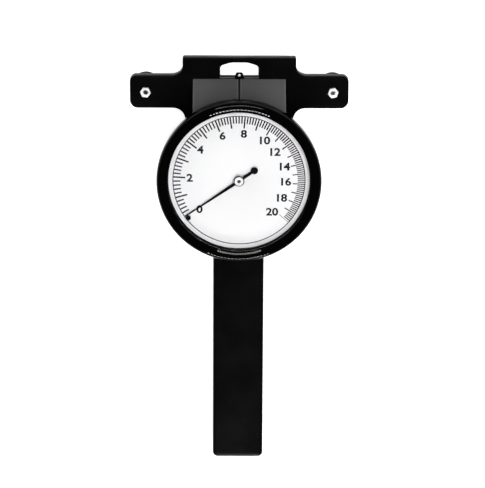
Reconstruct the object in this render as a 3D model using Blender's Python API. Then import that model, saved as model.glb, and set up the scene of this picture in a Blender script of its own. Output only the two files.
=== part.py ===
"""Hand-held dial tension gauge with two guide rollers and a sprung measuring roller.

The gauge lies on its back with the dial facing +Z, the roller arms towards +Y and the
handle towards -Y. The origin is on the dial's axis, in the plane of the back cover.
"""

import math

import bmesh
import bpy
from mathutils import Matrix, Vector

MM = 0.001
DEGREE = math.pi / 180

# Clearances
SEAT_GAP = 0.3 * MM
CUT_OVERRUN = 1.0 * MM
MERGE_DISTANCE = 0.003 * MM

# Fineness of the round parts
ARC_STEP = 22.5 * DEGREE
SHARP_ANGLE = 30 * DEGREE
EDGE_ANGLE = 50 * DEGREE
EDGE_SEGMENTS = 1
RING_SEGMENTS = 48
ROLLER_SEGMENTS = 24
SMALL_SEGMENTS = 14
FINE_SEGMENTS = 10
BEZEL_STEPS = 6
SECTOR_HUB_STEPS = 12
POINTER_ARC_STEPS = 10

# T-shaped front plate, seen from the dial side
ARM_BACK = 13.9 * MM
PLATE_BACK = 15.5 * MM
PLATE_FRONT = 20.0 * MM
PLATE_EDGE = 0.45 * MM
AXIS_MARGIN = 3.7 * MM
ARM_REACH = 59.0 * MM
ARM_HALF_HEIGHT = 9.0 * MM
ARM_TOP_CORNER = 3.4 * MM
ARM_LOW_CORNER = 4.3 * MM
NECK_HALF_WIDTH = 29.2 * MM
NECK_FILLET = 6.5 * MM
SHOULDER_Y = -20.0 * MM
SHOULDER_ROUND = 9.0 * MM
HOUSING_END_MARGIN = 0.7 * MM

# Raised block at the top of the plate, with its sight window
BLOCK_HALF_WIDTH = 30.6 * MM
BLOCK_TOP = 19.0 * MM
BLOCK_CORNER = 1.1 * MM
BLOCK_BACK = 13.0 * MM
BLOCK_PAD_INSET = 0.7 * MM
BLOCK_PAD_LOW = 7.0 * MM
FLARE_RISE = 2.2 * MM
FLARE_RUN = 4.4 * MM
FLARE_UPPER_ROUND = 4.0 * MM
FLARE_LOWER_ROUND = 6.0 * MM
WINDOW_HALF_WIDTH = 10.55 * MM
WINDOW_SILL = 7.6 * MM
WINDOW_TOP = 17.2 * MM
WINDOW_CORNER = 0.8 * MM
ARCH_SPRING = 13.5 * MM
ARCH_CROWN = 15.25 * MM
ARCH_TOP_HALF_WIDTH = 4.4 * MM
ARCH_CORNER = 2.0 * MM
ARCH_ROUND = 8.0 * MM
ARCH_STEP = 0.25 * MM

# Housing behind the plate
COVER_THICKNESS = 2.4 * MM
COVER_EDGE = 0.6 * MM
WALL = 4.6 * MM
WALL_INSET = 0.6 * MM
WALL_CORNER = 3.0 * MM
CAVITY_RELIEF = 0.2 * MM
ROLLER_RUN_GAP = 1.6 * MM

# Rollers, bearings and axle bolts
ROLLER_RADIUS = 7.7 * MM
ROLLER_ROOT_RADIUS = 5.4 * MM
ROLLER_BACK = 4.0 * MM
ROLLER_FRONT = 12.0 * MM
ROLLER_RIM = 0.9 * MM
ROLLER_ROOT_WIDTH = 1.4 * MM
GUIDE_AXIS_INSET = 8.4 * MM
MEASURING_DROP = 2.6 * MM
BEARING_RADIUS = 4.0 * MM
BEARING_WIDTH = 5.6 * MM
BEARING_LAND = 0.9 * MM
BEARING_RECESS = 0.4 * MM
AXLE_RADIUS = 1.25 * MM
AXLE_HEAD_RADIUS = 2.3 * MM
AXLE_HEAD_BACK = 3.2 * MM
AXLE_END = 22.9 * MM
AXLE_SLOT_WIDTH = 0.7 * MM
AXLE_SLOT_DEPTH = 0.8 * MM
SPACER_RADIUS = 2.6 * MM
NUT_ACROSS_FLATS = 5.0 * MM
NUT_THICKNESS = 2.0 * MM
NUT_CHAMFER = 0.35 * MM
NUT_TURN = 6 * DEGREE

# Measuring slide and its rack
TRAVEL = 4.0 * MM
SLIDE_BACK = 12.4 * MM
SLIDE_THICKNESS = 2.6 * MM
SLIDE_HALF_WIDTH = 6.0 * MM
SLIDE_TOP = 6.5 * MM
SLIDE_TOP_ROUND = 4.0 * MM
SLIDE_END_Y = -26.0 * MM
SLIDE_SIDE_GAP = 0.4 * MM
RACK_MODULE = 0.5 * MM
RACK_PINION_TEETH = 16
RACK_MARGIN_TEETH = 2

# Gear train
SECTOR_MODULE = 0.4 * MM
SECTOR_TEETH = 58
SECTOR_SPARE_TEETH = 2
POINTER_PINION_TEETH = 13
MESH_DIRECTION = 135 * DEGREE
PRESSURE_ANGLE = 20 * DEGREE
ADDENDUM_SHARE = 0.8
DEDENDUM_SHARE = 1.15
BACKLASH_SHARE = 0.16
FLANK_POINTS = 3
SECTOR_HUB_RADIUS = 3.2 * MM
SECTOR_THICKNESS = 1.4 * MM
SECTOR_HOLE_RADIUS = 1.7 * MM
SECTOR_BACK = 27.0 * MM
POINTER_PINION_BACK = 26.4 * MM
POINTER_PINION_LENGTH = 2.6 * MM
ARBOR_RADIUS = 1.0 * MM
PIVOT_RADIUS = 0.7 * MM
SECTOR_ARBOR_RADIUS = 1.2 * MM
RACK_PINION_LENGTH = 3.0 * MM
COLLET_RADIUS = 1.6 * MM
COLLET_LENGTH = 1.2 * MM

# Guides of the slide
GUIDE_HALF_WIDTH = 11.5 * MM
GUIDE_LENGTH = 8.0 * MM
GUIDE_BACK = 9.2 * MM
UPPER_GUIDE_MARGIN = 2.6 * MM
LOWER_GUIDE_MARGIN = 0.7 * MM
GUIDE_SCREW_DEPTH = 3.0 * MM

# Measuring spring with its seat and adjuster, in the tang
SPRING_RADIUS = 3.5 * MM
SPRING_WIRE_RADIUS = 0.45 * MM
SPRING_TURNS = 10
SPRING_POINTS_PER_TURN = 8
SPRING_LENGTH = 42.0 * MM
SPRING_BORE_GAP = 0.6 * MM
SEAT_THICKNESS = 2.0 * MM
SEAT_SPIGOT_RADIUS = 2.5 * MM
SEAT_SPIGOT_LENGTH = 3.0 * MM
ADJUSTER_RADIUS = 1.5 * MM
ADJUSTER_TAIL = 6.0 * MM
TANG_END_WALL = 4.0 * MM
LOCK_NUT_ACROSS_FLATS = 5.5 * MM
LOCK_NUT_THICKNESS = 2.4 * MM

# Handle
HANDLE_HALF_WIDTH = 13.85 * MM
HANDLE_FRONT = 22.0 * MM
HANDLE_END_Y = -165.2 * MM
HANDLE_WALL = 2.4 * MM
HANDLE_EDGE = 1.6 * MM
HANDLE_END_CORNER = 2.7 * MM
HANDLE_SCREW_SPACING = 24.0 * MM
HANDLE_SCREW_DEPTH = 4.0 * MM

# Small screws
SCREW_RADIUS = 1.0 * MM
SCREW_HEAD_RADIUS = 1.9 * MM
SCREW_HEAD_HEIGHT = 1.1 * MM
SCREW_SLOT_WIDTH = 0.5 * MM
SCREW_SLOT_DEPTH = 0.5 * MM
COVER_SCREW_DEPTH = 6.0 * MM
COVER_SCREW_RECESS = 0.2 * MM

# Shoulder cover between the plate and the dial case
COVER_HALF_WIDTH = 25.0 * MM
COVER_FRONT_EDGE = 7.35 * MM
COVER_LIP = 0.8 * MM
COVER_RISE = 15.4 * MM
COVER_RUN = 17.6 * MM
COVER_DEPTH = 22.8 * MM
COVER_GROOVE_WIDTH = 0.9 * MM
COVER_GROOVE_DEPTH = 1.2 * MM
COVER_SIDE_EDGE = 0.5 * MM
COVER_SCREW_X = 18.0 * MM
COVER_SCREW_LENGTH = 3.0 * MM

# Stop lug in the window sill
STOP_HALF_WIDTH = 2.7 * MM
STOP_TOP_HALF_WIDTH = 1.7 * MM
STOP_TOP_ROUND = 0.8 * MM
STOP_BASE_RISE = 0.1 * MM
STOP_RISE = 1.6 * MM
STOP_DEPTH = 1.4 * MM
STOP_FOOT_HALF_WIDTH = 1.8 * MM
STOP_FOOT_SINK = 0.9 * MM
STOP_FOOT_FRONT = 0.3 * MM
STOP_PIN_RADIUS = 0.65 * MM
STOP_HEIGHT = 9.4 * MM
STOP_FRONT_PROUD = 0.7 * MM
STOP_PIN_PROUD = 0.25 * MM

# Dial case, dial, crystal and bezel
CASE_RADIUS = 40.3 * MM
CASE_WALL = 2.0 * MM
CASE_FLOOR = 2.2 * MM
CASE_EDGE = 1.0 * MM
CASE_TOP = 40.9 * MM
DIAL_FACE = 39.4 * MM
DIAL_THICKNESS = 0.8 * MM
DIAL_LEDGE = 1.7 * MM
DIAL_HOLE_RADIUS = 2.0 * MM
GASKET_THICKNESS = 0.7 * MM
GASKET_WIDTH = 1.5 * MM
CRYSTAL_THICKNESS = 1.2 * MM
CRYSTAL_EDGE = 0.25 * MM
BEZEL_WALL = 4.05 * MM
BEZEL_REACH = 2.5 * MM
BEZEL_BACK = 36.8 * MM
BEZEL_CREST = 45.5 * MM
BEZEL_CREST_OFFSET = 1.0 * MM
BEZEL_FOOT_ROUND = 1.2 * MM
BEZEL_LIP = 0.6 * MM

# Pointer and zero stop
ZERO_ANGLE = 124.7 * DEGREE
POINTER_BACK = 40.1 * MM
POINTER_THICKNESS = 0.5 * MM
POINTER_MARGIN = 6.1 * MM
POINTER_ROOT_HALF_WIDTH = 0.65 * MM
POINTER_TIP_HALF_WIDTH = 0.12 * MM
POINTER_TAIL = 10.0 * MM
POINTER_TAIL_HALF_WIDTH = 0.6 * MM
POINTER_WEIGHT_RADIUS = 1.95 * MM
POINTER_EYE_RADIUS = 2.2 * MM
HUB_RADIUS = 2.9 * MM
HUB_THICKNESS = 0.8 * MM
ARBOR_TIP_RADIUS = 0.5 * MM
ZERO_PIN_RADIUS = 1.2 * MM
ZERO_PIN_HEIGHT = 1.8 * MM
ZERO_PIN_CLEARANCE = 0.1 * MM

# Movement frame
FRAME_HALF_WIDTH = 19.0 * MM
FRAME_HALF_HEIGHT = 18.0 * MM
FRAME_CENTRE_X = 4.0 * MM
FRAME_CENTRE_Y = -5.5 * MM
FRAME_CORNER = 4.0 * MM
FRAME_PLATE = 1.4 * MM
FRAME_TOP_BACK = 34.0 * MM
PILLAR_RADIUS = 2.2 * MM
PILLAR_INSET = 3.8 * MM
FRAME_SCREW_DEPTH = 3.0 * MM
HOUSING_BUSH_RADIUS = 2.8 * MM
BASE_SCREW_DEPTH = 3.0 * MM
HAIRSPRING_TURNS = 4
HAIRSPRING_POINTS_PER_TURN = 12
HAIRSPRING_PITCH = 1.2 * MM
HAIRSPRING_WIRE_RADIUS = 0.15 * MM
HAIRSPRING_LEVEL = 31.3 * MM
STUD_RADIUS = 0.7 * MM

# Places worked out from the sizes above
HOUSING_BACK = COVER_THICKNESS + SEAT_GAP
AXIS_Y = CASE_RADIUS + AXIS_MARGIN
MEASURING_Y = AXIS_Y - MEASURING_DROP
GUIDE_AXIS_X = ARM_REACH - GUIDE_AXIS_INSET
HOUSING_END_Y = -CASE_RADIUS - HOUSING_END_MARGIN
HOUSING_TOP_Y = MEASURING_Y - ROLLER_RADIUS - TRAVEL - ROLLER_RUN_GAP
UPPER_GUIDE_Y = HOUSING_TOP_Y - WALL - UPPER_GUIDE_MARGIN - GUIDE_LENGTH / 2
LOWER_GUIDE_Y = SLIDE_END_Y + LOWER_GUIDE_MARGIN + GUIDE_LENGTH / 2
RACK_PINION_RADIUS = RACK_MODULE * RACK_PINION_TEETH / 2
SECTOR_RADIUS = SECTOR_MODULE * SECTOR_TEETH / 2
POINTER_PINION_RADIUS = SECTOR_MODULE * POINTER_PINION_TEETH / 2
CENTRE_DISTANCE = SECTOR_RADIUS + POINTER_PINION_RADIUS
SECTOR_X = -CENTRE_DISTANCE * math.cos(MESH_DIRECTION)
SECTOR_Y = -CENTRE_DISTANCE * math.sin(MESH_DIRECTION)
RACK_PITCH_X = SECTOR_X - RACK_PINION_RADIUS
SECTOR_SWING = TRAVEL / RACK_PINION_RADIUS
SLIDE_FRONT = SLIDE_BACK + SLIDE_THICKNESS
SLIDE_LEVEL = (SLIDE_BACK + SLIDE_FRONT) / 2
SEAT_RADIUS = SPRING_RADIUS + SPRING_WIRE_RADIUS
SPRING_BORE = SEAT_RADIUS + SPRING_BORE_GAP
SEAT_Y = SLIDE_END_Y - SEAT_GAP
SPRING_TOP_Y = SEAT_Y - SEAT_THICKNESS - SEAT_GAP
SPRING_END_Y = SPRING_TOP_Y - SPRING_LENGTH
ADJUSTER_Y = SPRING_END_Y - SEAT_GAP
BORE_END_Y = ADJUSTER_Y - SEAT_THICKNESS - SEAT_GAP
TANG_END_Y = BORE_END_Y - TANG_END_WALL
CASE_BACK = PLATE_FRONT + SEAT_GAP
CASE_FLOOR_TOP = CASE_BACK + CASE_FLOOR
FRAME_BASE_BACK = CASE_FLOOR_TOP + SEAT_GAP
FRAME_BASE_FRONT = FRAME_BASE_BACK + FRAME_PLATE
FRAME_TOP_FRONT = FRAME_TOP_BACK + FRAME_PLATE
DIAL_BACK = DIAL_FACE - DIAL_THICKNESS
CASE_INNER = CASE_RADIUS - CASE_WALL
GASKET_BACK = CASE_TOP + SEAT_GAP
CRYSTAL_BACK = GASKET_BACK + GASKET_THICKNESS + SEAT_GAP
CRYSTAL_FRONT = CRYSTAL_BACK + CRYSTAL_THICKNESS
BEZEL_RADIUS = CASE_RADIUS + BEZEL_WALL
BEZEL_OPENING_RADIUS = CASE_RADIUS - BEZEL_REACH
BEZEL_CREST_RADIUS = CASE_RADIUS + BEZEL_CREST_OFFSET
POINTER_LENGTH = CASE_RADIUS - POINTER_MARGIN
POINTER_FRONT = POINTER_BACK + POINTER_THICKNESS
HUB_BACK = POINTER_FRONT + SEAT_GAP
HUB_FRONT = HUB_BACK + HUB_THICKNESS
STOP_Y = AXIS_Y + STOP_HEIGHT
STOP_BACK = PLATE_FRONT - STOP_DEPTH

# Helpers that build meshes and objects


def finish(name, colour, roughness, metallic, transmission=0.0):
    """One Principled material."""
    material = bpy.data.materials.new(name)
    material.use_nodes = True
    shader = material.node_tree.nodes["Principled BSDF"]
    shader.inputs["Base Color"].default_value = (*colour, 1.0)
    shader.inputs["Roughness"].default_value = roughness
    shader.inputs["Metallic"].default_value = metallic
    shader.inputs["Transmission Weight"].default_value = transmission
    return material


def place_object(name, bm, material):
    """An object from a bmesh, its faces pointing out and shaded smooth but for sharp edges."""
    bmesh.ops.recalc_face_normals(bm, faces=bm.faces)
    mesh = bpy.data.meshes.new(name)
    bm.to_mesh(mesh)
    bm.free()
    mesh.shade_smooth()
    mesh.set_sharp_from_angle(angle=SHARP_ANGLE)
    thing = bpy.data.objects.new(name, mesh)
    bpy.context.scene.collection.objects.link(thing)
    if material:
        mesh.materials.append(material)
    return thing


def rounded(corners):
    """An outline whose corners, each given as x, y and radius, are turned into arcs."""
    points = []
    for index, (x, y, radius) in enumerate(corners):
        corner = Vector((x, y))
        if not radius:
            points.append((x, y))
            continue
        before = (Vector(corners[index - 1][:2]) - corner).normalized()
        after = (Vector(corners[(index + 1) % len(corners)][:2]) - corner).normalized()
        half = before.angle(after) / 2
        centre = corner + (before + after).normalized() * (radius / math.sin(half))
        first = corner + before * (radius / math.tan(half)) - centre
        last = corner + after * (radius / math.tan(half)) - centre
        turn = math.atan2(first.cross(last), first.dot(last))
        steps = max(2, round(abs(turn) / ARC_STEP))
        for step in range(steps + 1):
            point = centre + Matrix.Rotation(turn * step / steps, 2) @ first
            points.append(tuple(point))
    return points


def mirrored(right_side):
    """A whole outline from its right side, listed from the bottom to the top."""
    left_side = [(-x, y, radius) for x, y, radius in reversed(right_side)]
    return right_side + left_side


def box_outline(half_width, low, high, corner=0.0):
    """A rectangle about x = 0, with rounded corners."""
    return rounded(mirrored([(half_width, low, corner), (half_width, high, corner)]))


def prism(name, outline, low, high, material=None):
    """A flat outline drawn out along Z."""
    bm = bmesh.new()
    face = bm.faces.new([bm.verts.new((x, y, low)) for x, y in outline])
    drawn = bmesh.ops.extrude_face_region(bm, geom=[face])
    moved = [part for part in drawn["geom"] if isinstance(part, bmesh.types.BMVert)]
    bmesh.ops.translate(bm, verts=moved, vec=(0, 0, high - low))
    return place_object(name, bm, material)


def turned(name, profile, material=None, segments=SMALL_SEGMENTS):
    """A profile of radius and height points, from axis to axis or closed, spun about Z."""
    bm = bmesh.new()
    verts = [bm.verts.new((radius, 0, height)) for radius, height in profile]
    edges = [bm.edges.new(pair) for pair in zip(verts, verts[1:])]
    if profile[0][0] > 0:
        edges.append(bm.edges.new((verts[-1], verts[0])))
    bmesh.ops.spin(
        bm, geom=verts + edges, cent=(0, 0, 0), axis=(0, 0, 1), angle=2 * math.pi,
        steps=segments, use_merge=True, use_duplicate=False,
    )
    bmesh.ops.remove_doubles(bm, verts=bm.verts, dist=MERGE_DISTANCE)
    bmesh.ops.dissolve_degenerate(bm, edges=bm.edges, dist=MERGE_DISTANCE)
    return place_object(name, bm, material)


def ring(inner, outer, low, high):
    """A closed profile of a plain ring."""
    return [(inner, low), (outer, low), (outer, high), (inner, high)]


def rod(steps):
    """A profile of a stepped shaft from steps of radius, low and high."""
    points = [(0, steps[0][1])]
    for radius, low, high in steps:
        points += [(radius, low), (radius, high)]
    points.append((0, steps[-1][2]))
    return points


def baked(thing):
    """The object with its modifiers made part of its mesh."""
    bpy.context.view_layer.update()
    graph = bpy.context.evaluated_depsgraph_get()
    mesh = bpy.data.meshes.new_from_object(thing.evaluated_get(graph))
    thing.modifiers.clear()
    thing.data = mesh
    return thing


def copies(thing, places):
    """Numbered objects that share the finished mesh, one at each place."""
    mesh = baked(thing).data
    for number, place in enumerate(places, 1):
        copy = bpy.data.objects.new(f"{thing.name}_{number}", mesh)
        copy.location = place
        bpy.context.scene.collection.objects.link(copy)
    bpy.data.objects.remove(thing)


def repeated(thing, places):
    """One cutter that holds a copy of the mesh at each place."""
    source = baked(thing).data
    bm = bmesh.new()
    for place in places:
        before = set(bm.verts)
        bm.from_mesh(source)
        new = [vert for vert in bm.verts if vert not in before]
        bmesh.ops.translate(bm, verts=new, vec=place)
    bm.to_mesh(source)
    bm.free()
    return thing


def facing(thing, rotation, place=(0, 0, 0)):
    """The mesh turned and moved, with the object left where it is."""
    thing.data.transform(Matrix.Translation(place) @ rotation)
    return thing


UPRIGHT = Matrix.Identity(4)
ALONG_MINUS_Y = Matrix.Rotation(math.pi / 2, 4, "X")
ALONG_PLUS_Y = Matrix.Rotation(-math.pi / 2, 4, "X")
ALONG_X = Matrix.Rotation(math.pi / 2, 4, "Z") @ Matrix.Rotation(math.pi / 2, 4, "X")


def combine(thing, tool, operation="DIFFERENCE"):
    """Cuts the tool from the object, or joins or intersects them. The tool goes where the object goes."""
    tool.hide_render = True
    tool.display_type = "WIRE"
    tool.parent = thing
    step = thing.modifiers.new(tool.name, "BOOLEAN")
    step.operation = operation
    step.object = tool
    return thing


def soften(thing, width, segments=EDGE_SEGMENTS):
    """Rounds the object's sharp edges."""
    step = thing.modifiers.new("edges", "BEVEL")
    step.width = width
    step.segments = segments
    step.limit_method = "ANGLE"
    step.angle_limit = EDGE_ANGLE
    return thing


def drill(thing, name, places, radius, low, high, segments=SMALL_SEGMENTS):
    """Round holes of one size through the object, along Z."""
    tool = turned(name, rod([(radius, low, high)]), segments=segments)
    return combine(thing, repeated(tool, places))


def hexagon(across_flats, turn=0.0):
    """The corners of a hexagon."""
    radius = across_flats / math.sqrt(3)
    angles = [turn + side * math.pi / 3 for side in range(6)]
    return [(radius * math.cos(angle), radius * math.sin(angle)) for angle in angles]


def nut(name, across_flats, thickness, bore, low, material, turn=0.0):
    """A hexagon nut whose corners are chamfered on both faces."""
    corner = across_flats / math.sqrt(3)
    flat = across_flats / 2
    thing = prism(name, hexagon(across_flats, turn), low, low + thickness, material)
    chamfer = [
        (0, low), (flat, low), (corner, low + NUT_CHAMFER),
        (corner, low + thickness - NUT_CHAMFER), (flat, low + thickness), (0, low + thickness),
    ]
    combine(thing, turned(name + "_chamfer", chamfer, segments=SMALL_SEGMENTS), "INTERSECT")
    return drill(thing, name + "_bore", [(0, 0, 0)], bore, low - CUT_OVERRUN, low + thickness + CUT_OVERRUN)


def slotted_screw(name, head_back, tip, material):
    """A small screw whose slotted head faces -Z, or +Z when its tip is lower than its head."""
    way = math.copysign(1, tip - head_back)
    shoulder = head_back + way * SCREW_HEAD_HEIGHT
    steps = [(SCREW_HEAD_RADIUS, head_back, shoulder), (SCREW_RADIUS, shoulder, tip)]
    thing = turned(name, rod(steps), material, FINE_SEGMENTS)
    half = SCREW_SLOT_WIDTH / 2
    reach = SCREW_HEAD_RADIUS + CUT_OVERRUN
    slot = prism(
        name + "_slot", box_outline(half, -reach, reach),
        head_back - way * CUT_OVERRUN, head_back + way * SCREW_SLOT_DEPTH,
    )
    return combine(thing, slot)


def involute(angle):
    """The involute function of a pressure angle."""
    return math.tan(angle) - angle


def tooth_points(teeth, module, centre_angle):
    """One tooth's points about its gear's centre, in the counter-clockwise direction."""
    pitch = module * teeth / 2
    base = pitch * math.cos(PRESSURE_ANGLE)
    root = pitch - module * DEDENDUM_SHARE
    tip = pitch + module * ADDENDUM_SHARE
    start = max(root, base)
    flank = []
    for step in range(FLANK_POINTS):
        radius = start + (tip - start) * step / (FLANK_POINTS - 1)
        narrowing = involute(math.acos(min(1, base / radius))) - involute(PRESSURE_ANGLE)
        half = (math.pi / 2 - BACKLASH_SHARE) / teeth - narrowing
        flank.append((radius, half))
    if root < base:
        flank.insert(0, (root, flank[0][1]))
    polar = [(radius, centre_angle - half) for radius, half in flank]
    polar += [(radius, centre_angle + half) for radius, half in reversed(flank)]
    return [(radius * math.cos(angle), radius * math.sin(angle)) for radius, angle in polar]


def gear_outline(teeth, module, first_angle):
    """The outline of a whole gear whose first tooth points at the angle."""
    points = []
    for index in range(teeth):
        points += tooth_points(teeth, module, first_angle + index * 2 * math.pi / teeth)
    return points


def coil(name, points, wire_radius, sides, material):
    """A tube along the points, with closed ends."""
    curve = bpy.data.curves.new(name, "CURVE")
    curve.dimensions = "3D"
    curve.bevel_depth = wire_radius
    curve.bevel_resolution = sides
    curve.use_fill_caps = True
    spline = curve.splines.new("POLY")
    spline.points.add(len(points) - 1)
    for point, place in zip(spline.points, points):
        point.co = (*place, 1)
    curve.materials.append(material)
    thing = bpy.data.objects.new(name, curve)
    bpy.context.scene.collection.objects.link(thing)
    return thing


def on_axis(name, x, y, children):
    """An empty on a joint's axis that carries the moving pieces built about it."""
    axis = bpy.data.objects.new(name, None)
    axis.location = (x, y, 0)
    bpy.context.scene.collection.objects.link(axis)
    for child in children:
        child.parent = axis
    return axis


# Outlines shared by several pieces


def plate_outline():
    """The T of the front plate with the raised block, its flares and the tapered lower end."""
    arm_top = AXIS_Y + ARM_HALF_HEIGHT
    arm_low = AXIS_Y - ARM_HALF_HEIGHT
    return rounded(mirrored([
        (HANDLE_HALF_WIDTH, HOUSING_END_Y, 0),
        (NECK_HALF_WIDTH, SHOULDER_Y, SHOULDER_ROUND),
        (NECK_HALF_WIDTH, arm_low, NECK_FILLET),
        (ARM_REACH, arm_low, ARM_LOW_CORNER),
        (ARM_REACH, arm_top, ARM_TOP_CORNER),
        (BLOCK_HALF_WIDTH + FLARE_RUN, arm_top, FLARE_LOWER_ROUND),
        (BLOCK_HALF_WIDTH, arm_top + FLARE_RISE, FLARE_UPPER_ROUND),
        (BLOCK_HALF_WIDTH, AXIS_Y + BLOCK_TOP, BLOCK_CORNER),
    ]))


def housing_outline(inset):
    """The outline of the housing behind the plate, drawn in by the inset."""
    return rounded(mirrored([
        (HANDLE_HALF_WIDTH - inset, HOUSING_END_Y + max(0, inset - WALL_INSET), 0),
        (NECK_HALF_WIDTH - inset, SHOULDER_Y, SHOULDER_ROUND),
        (NECK_HALF_WIDTH - inset, HOUSING_TOP_Y - max(0, inset - WALL_INSET), WALL_CORNER),
    ]))


def cover_screw_places():
    """The screws of the back cover, in the middle of the housing's walls."""
    side = NECK_HALF_WIDTH - WALL_INSET - WALL / 2
    top = HOUSING_TOP_Y - WALL / 2
    low_x = (SPRING_BORE + HANDLE_HALF_WIDTH) / 2
    low_y = HOUSING_END_Y + WALL / 2
    return [(way * x, y, 0) for way in (-1, 1) for x, y in ((side, top), (low_x, low_y))]


def handle_screw_places():
    """The screws that hold the handle to the tang."""
    middle = (HOUSING_END_Y + TANG_END_Y) / 2
    return [(0, middle + way * HANDLE_SCREW_SPACING / 2, 0) for way in (-1, 1)]


def guide_screw_places():
    """The screws of the two slide guides."""
    x = (SLIDE_HALF_WIDTH + SLIDE_SIDE_GAP + GUIDE_HALF_WIDTH) / 2
    return [(way * x, y, 0) for way in (-1, 1) for y in (UPPER_GUIDE_Y, LOWER_GUIDE_Y)]


def base_screw_places():
    """The screws that hold the movement and the dial case to the plate."""
    reach = FRAME_HALF_WIDTH - PILLAR_INSET
    return [(FRAME_CENTRE_X + way * reach, FRAME_CENTRE_Y, 0) for way in (-1, 1)]


def shoulder_screw_places():
    """The screws that hold the shoulder cover from behind the plate."""
    return [(way * COVER_SCREW_X, AXIS_Y, 0) for way in (-1, 1)]


# The fixed body


def body_housing(material):
    """The cast T with its window, the walls of the mechanism's housing and the handle's tang."""
    body = soften(prism("body_housing", plate_outline(), ARM_BACK, PLATE_FRONT, material), PLATE_EDGE)
    inside = (PLATE_BACK + PLATE_FRONT) / 2
    recess = prism(
        "roller_recess",
        box_outline(NECK_HALF_WIDTH - WALL_INSET - WALL, HOUSING_TOP_Y - WALL,
                    AXIS_Y + BLOCK_PAD_LOW + BLOCK_CORNER),
        ARM_BACK - CUT_OVERRUN, PLATE_BACK,
    )
    combine(body, recess)
    pad = prism(
        "block_pad",
        box_outline(BLOCK_HALF_WIDTH - BLOCK_PAD_INSET, AXIS_Y + BLOCK_PAD_LOW,
                    AXIS_Y + BLOCK_TOP - BLOCK_PAD_INSET, BLOCK_CORNER),
        BLOCK_BACK, inside,
    )
    combine(body, pad, "UNION")
    combine(body, prism("housing_walls", housing_outline(WALL_INSET), HOUSING_BACK, inside), "UNION")
    tang_side = HANDLE_HALF_WIDTH - HANDLE_WALL - SEAT_GAP
    tang = prism(
        "tang", box_outline(tang_side, TANG_END_Y, HOUSING_END_Y + WALL / 2),
        HANDLE_WALL + SEAT_GAP, HANDLE_FRONT - HANDLE_WALL - SEAT_GAP,
    )
    combine(body, tang, "UNION")
    cavity = prism(
        "mechanism_cavity", housing_outline(WALL_INSET + WALL), HOUSING_BACK - CUT_OVERRUN,
        PLATE_BACK + CAVITY_RELIEF,
    )
    combine(body, cavity)
    slot = prism(
        "slide_slot",
        box_outline(SLIDE_HALF_WIDTH + SLIDE_SIDE_GAP, HOUSING_TOP_Y - WALL - CUT_OVERRUN,
                    HOUSING_TOP_Y + CUT_OVERRUN),
        SLIDE_BACK - SLIDE_SIDE_GAP, PLATE_BACK + CAVITY_RELIEF / 2,
    )
    combine(body, slot)
    bore_length = SLIDE_END_Y + SLIDE_SIDE_GAP - BORE_END_Y
    bore = turned("spring_bore", rod([(SPRING_BORE, 0, bore_length)]), segments=ROLLER_SEGMENTS)
    combine(body, facing(bore, ALONG_MINUS_Y, (0, SLIDE_END_Y + SLIDE_SIDE_GAP, SLIDE_LEVEL)))
    thread_length = TANG_END_WALL + 2 * CUT_OVERRUN
    thread = turned("adjuster_hole", rod([(ADJUSTER_RADIUS + SEAT_GAP, 0, thread_length)]))
    combine(body, facing(thread, ALONG_MINUS_Y, (0, BORE_END_Y + CUT_OVERRUN, SLIDE_LEVEL)))
    window = prism(
        "window_front",
        box_outline(WINDOW_HALF_WIDTH, AXIS_Y + WINDOW_SILL, AXIS_Y + WINDOW_TOP, WINDOW_CORNER),
        PLATE_BACK, PLATE_FRONT + CUT_OVERRUN,
    )
    combine(body, window)
    combine(body, prism("window_back", arched_window(), BLOCK_BACK - CUT_OVERRUN, inside))
    combine(body, stop_foot("stop_notch", SEAT_GAP, PLATE_FRONT + CUT_OVERRUN))
    front = PLATE_FRONT + CUT_OVERRUN
    back = ARM_BACK - CUT_OVERRUN
    bolts = [(way * GUIDE_AXIS_X, AXIS_Y, 0) for way in (-1, 1)]
    drill(body, "bolt_holes", bolts, AXLE_RADIUS + SEAT_GAP, back, front)
    drill(body, "bush_hole", [(SECTOR_X, SECTOR_Y, 0)], HOUSING_BUSH_RADIUS + SEAT_GAP, back, front)
    hole = SCREW_RADIUS + SEAT_GAP
    drill(body, "shoulder_holes", shoulder_screw_places(), hole, back, front, FINE_SEGMENTS)
    drill(body, "base_holes", base_screw_places(), hole,
          PLATE_FRONT - BASE_SCREW_DEPTH - SEAT_GAP, front, FINE_SEGMENTS)
    drill(body, "guide_holes", guide_screw_places(), hole,
          back, PLATE_BACK + GUIDE_SCREW_DEPTH + SEAT_GAP, FINE_SEGMENTS)
    drill(body, "cover_holes", cover_screw_places(), hole,
          HOUSING_BACK - CUT_OVERRUN, HOUSING_BACK + COVER_SCREW_DEPTH + SEAT_GAP, FINE_SEGMENTS)
    drill(body, "handle_holes", handle_screw_places(), hole,
          HANDLE_WALL - CUT_OVERRUN, HANDLE_WALL + HANDLE_SCREW_DEPTH + SEAT_GAP, FINE_SEGMENTS)
    return body


def arched_window():
    """The opening at the back of the window, with its low arch."""
    side = WINDOW_HALF_WIDTH - ARCH_STEP
    return rounded(mirrored([
        (side, AXIS_Y + WINDOW_SILL + ARCH_STEP, 0),
        (side, AXIS_Y + ARCH_SPRING, ARCH_CORNER),
        (ARCH_TOP_HALF_WIDTH, AXIS_Y + ARCH_CROWN, ARCH_ROUND),
    ]))


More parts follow.
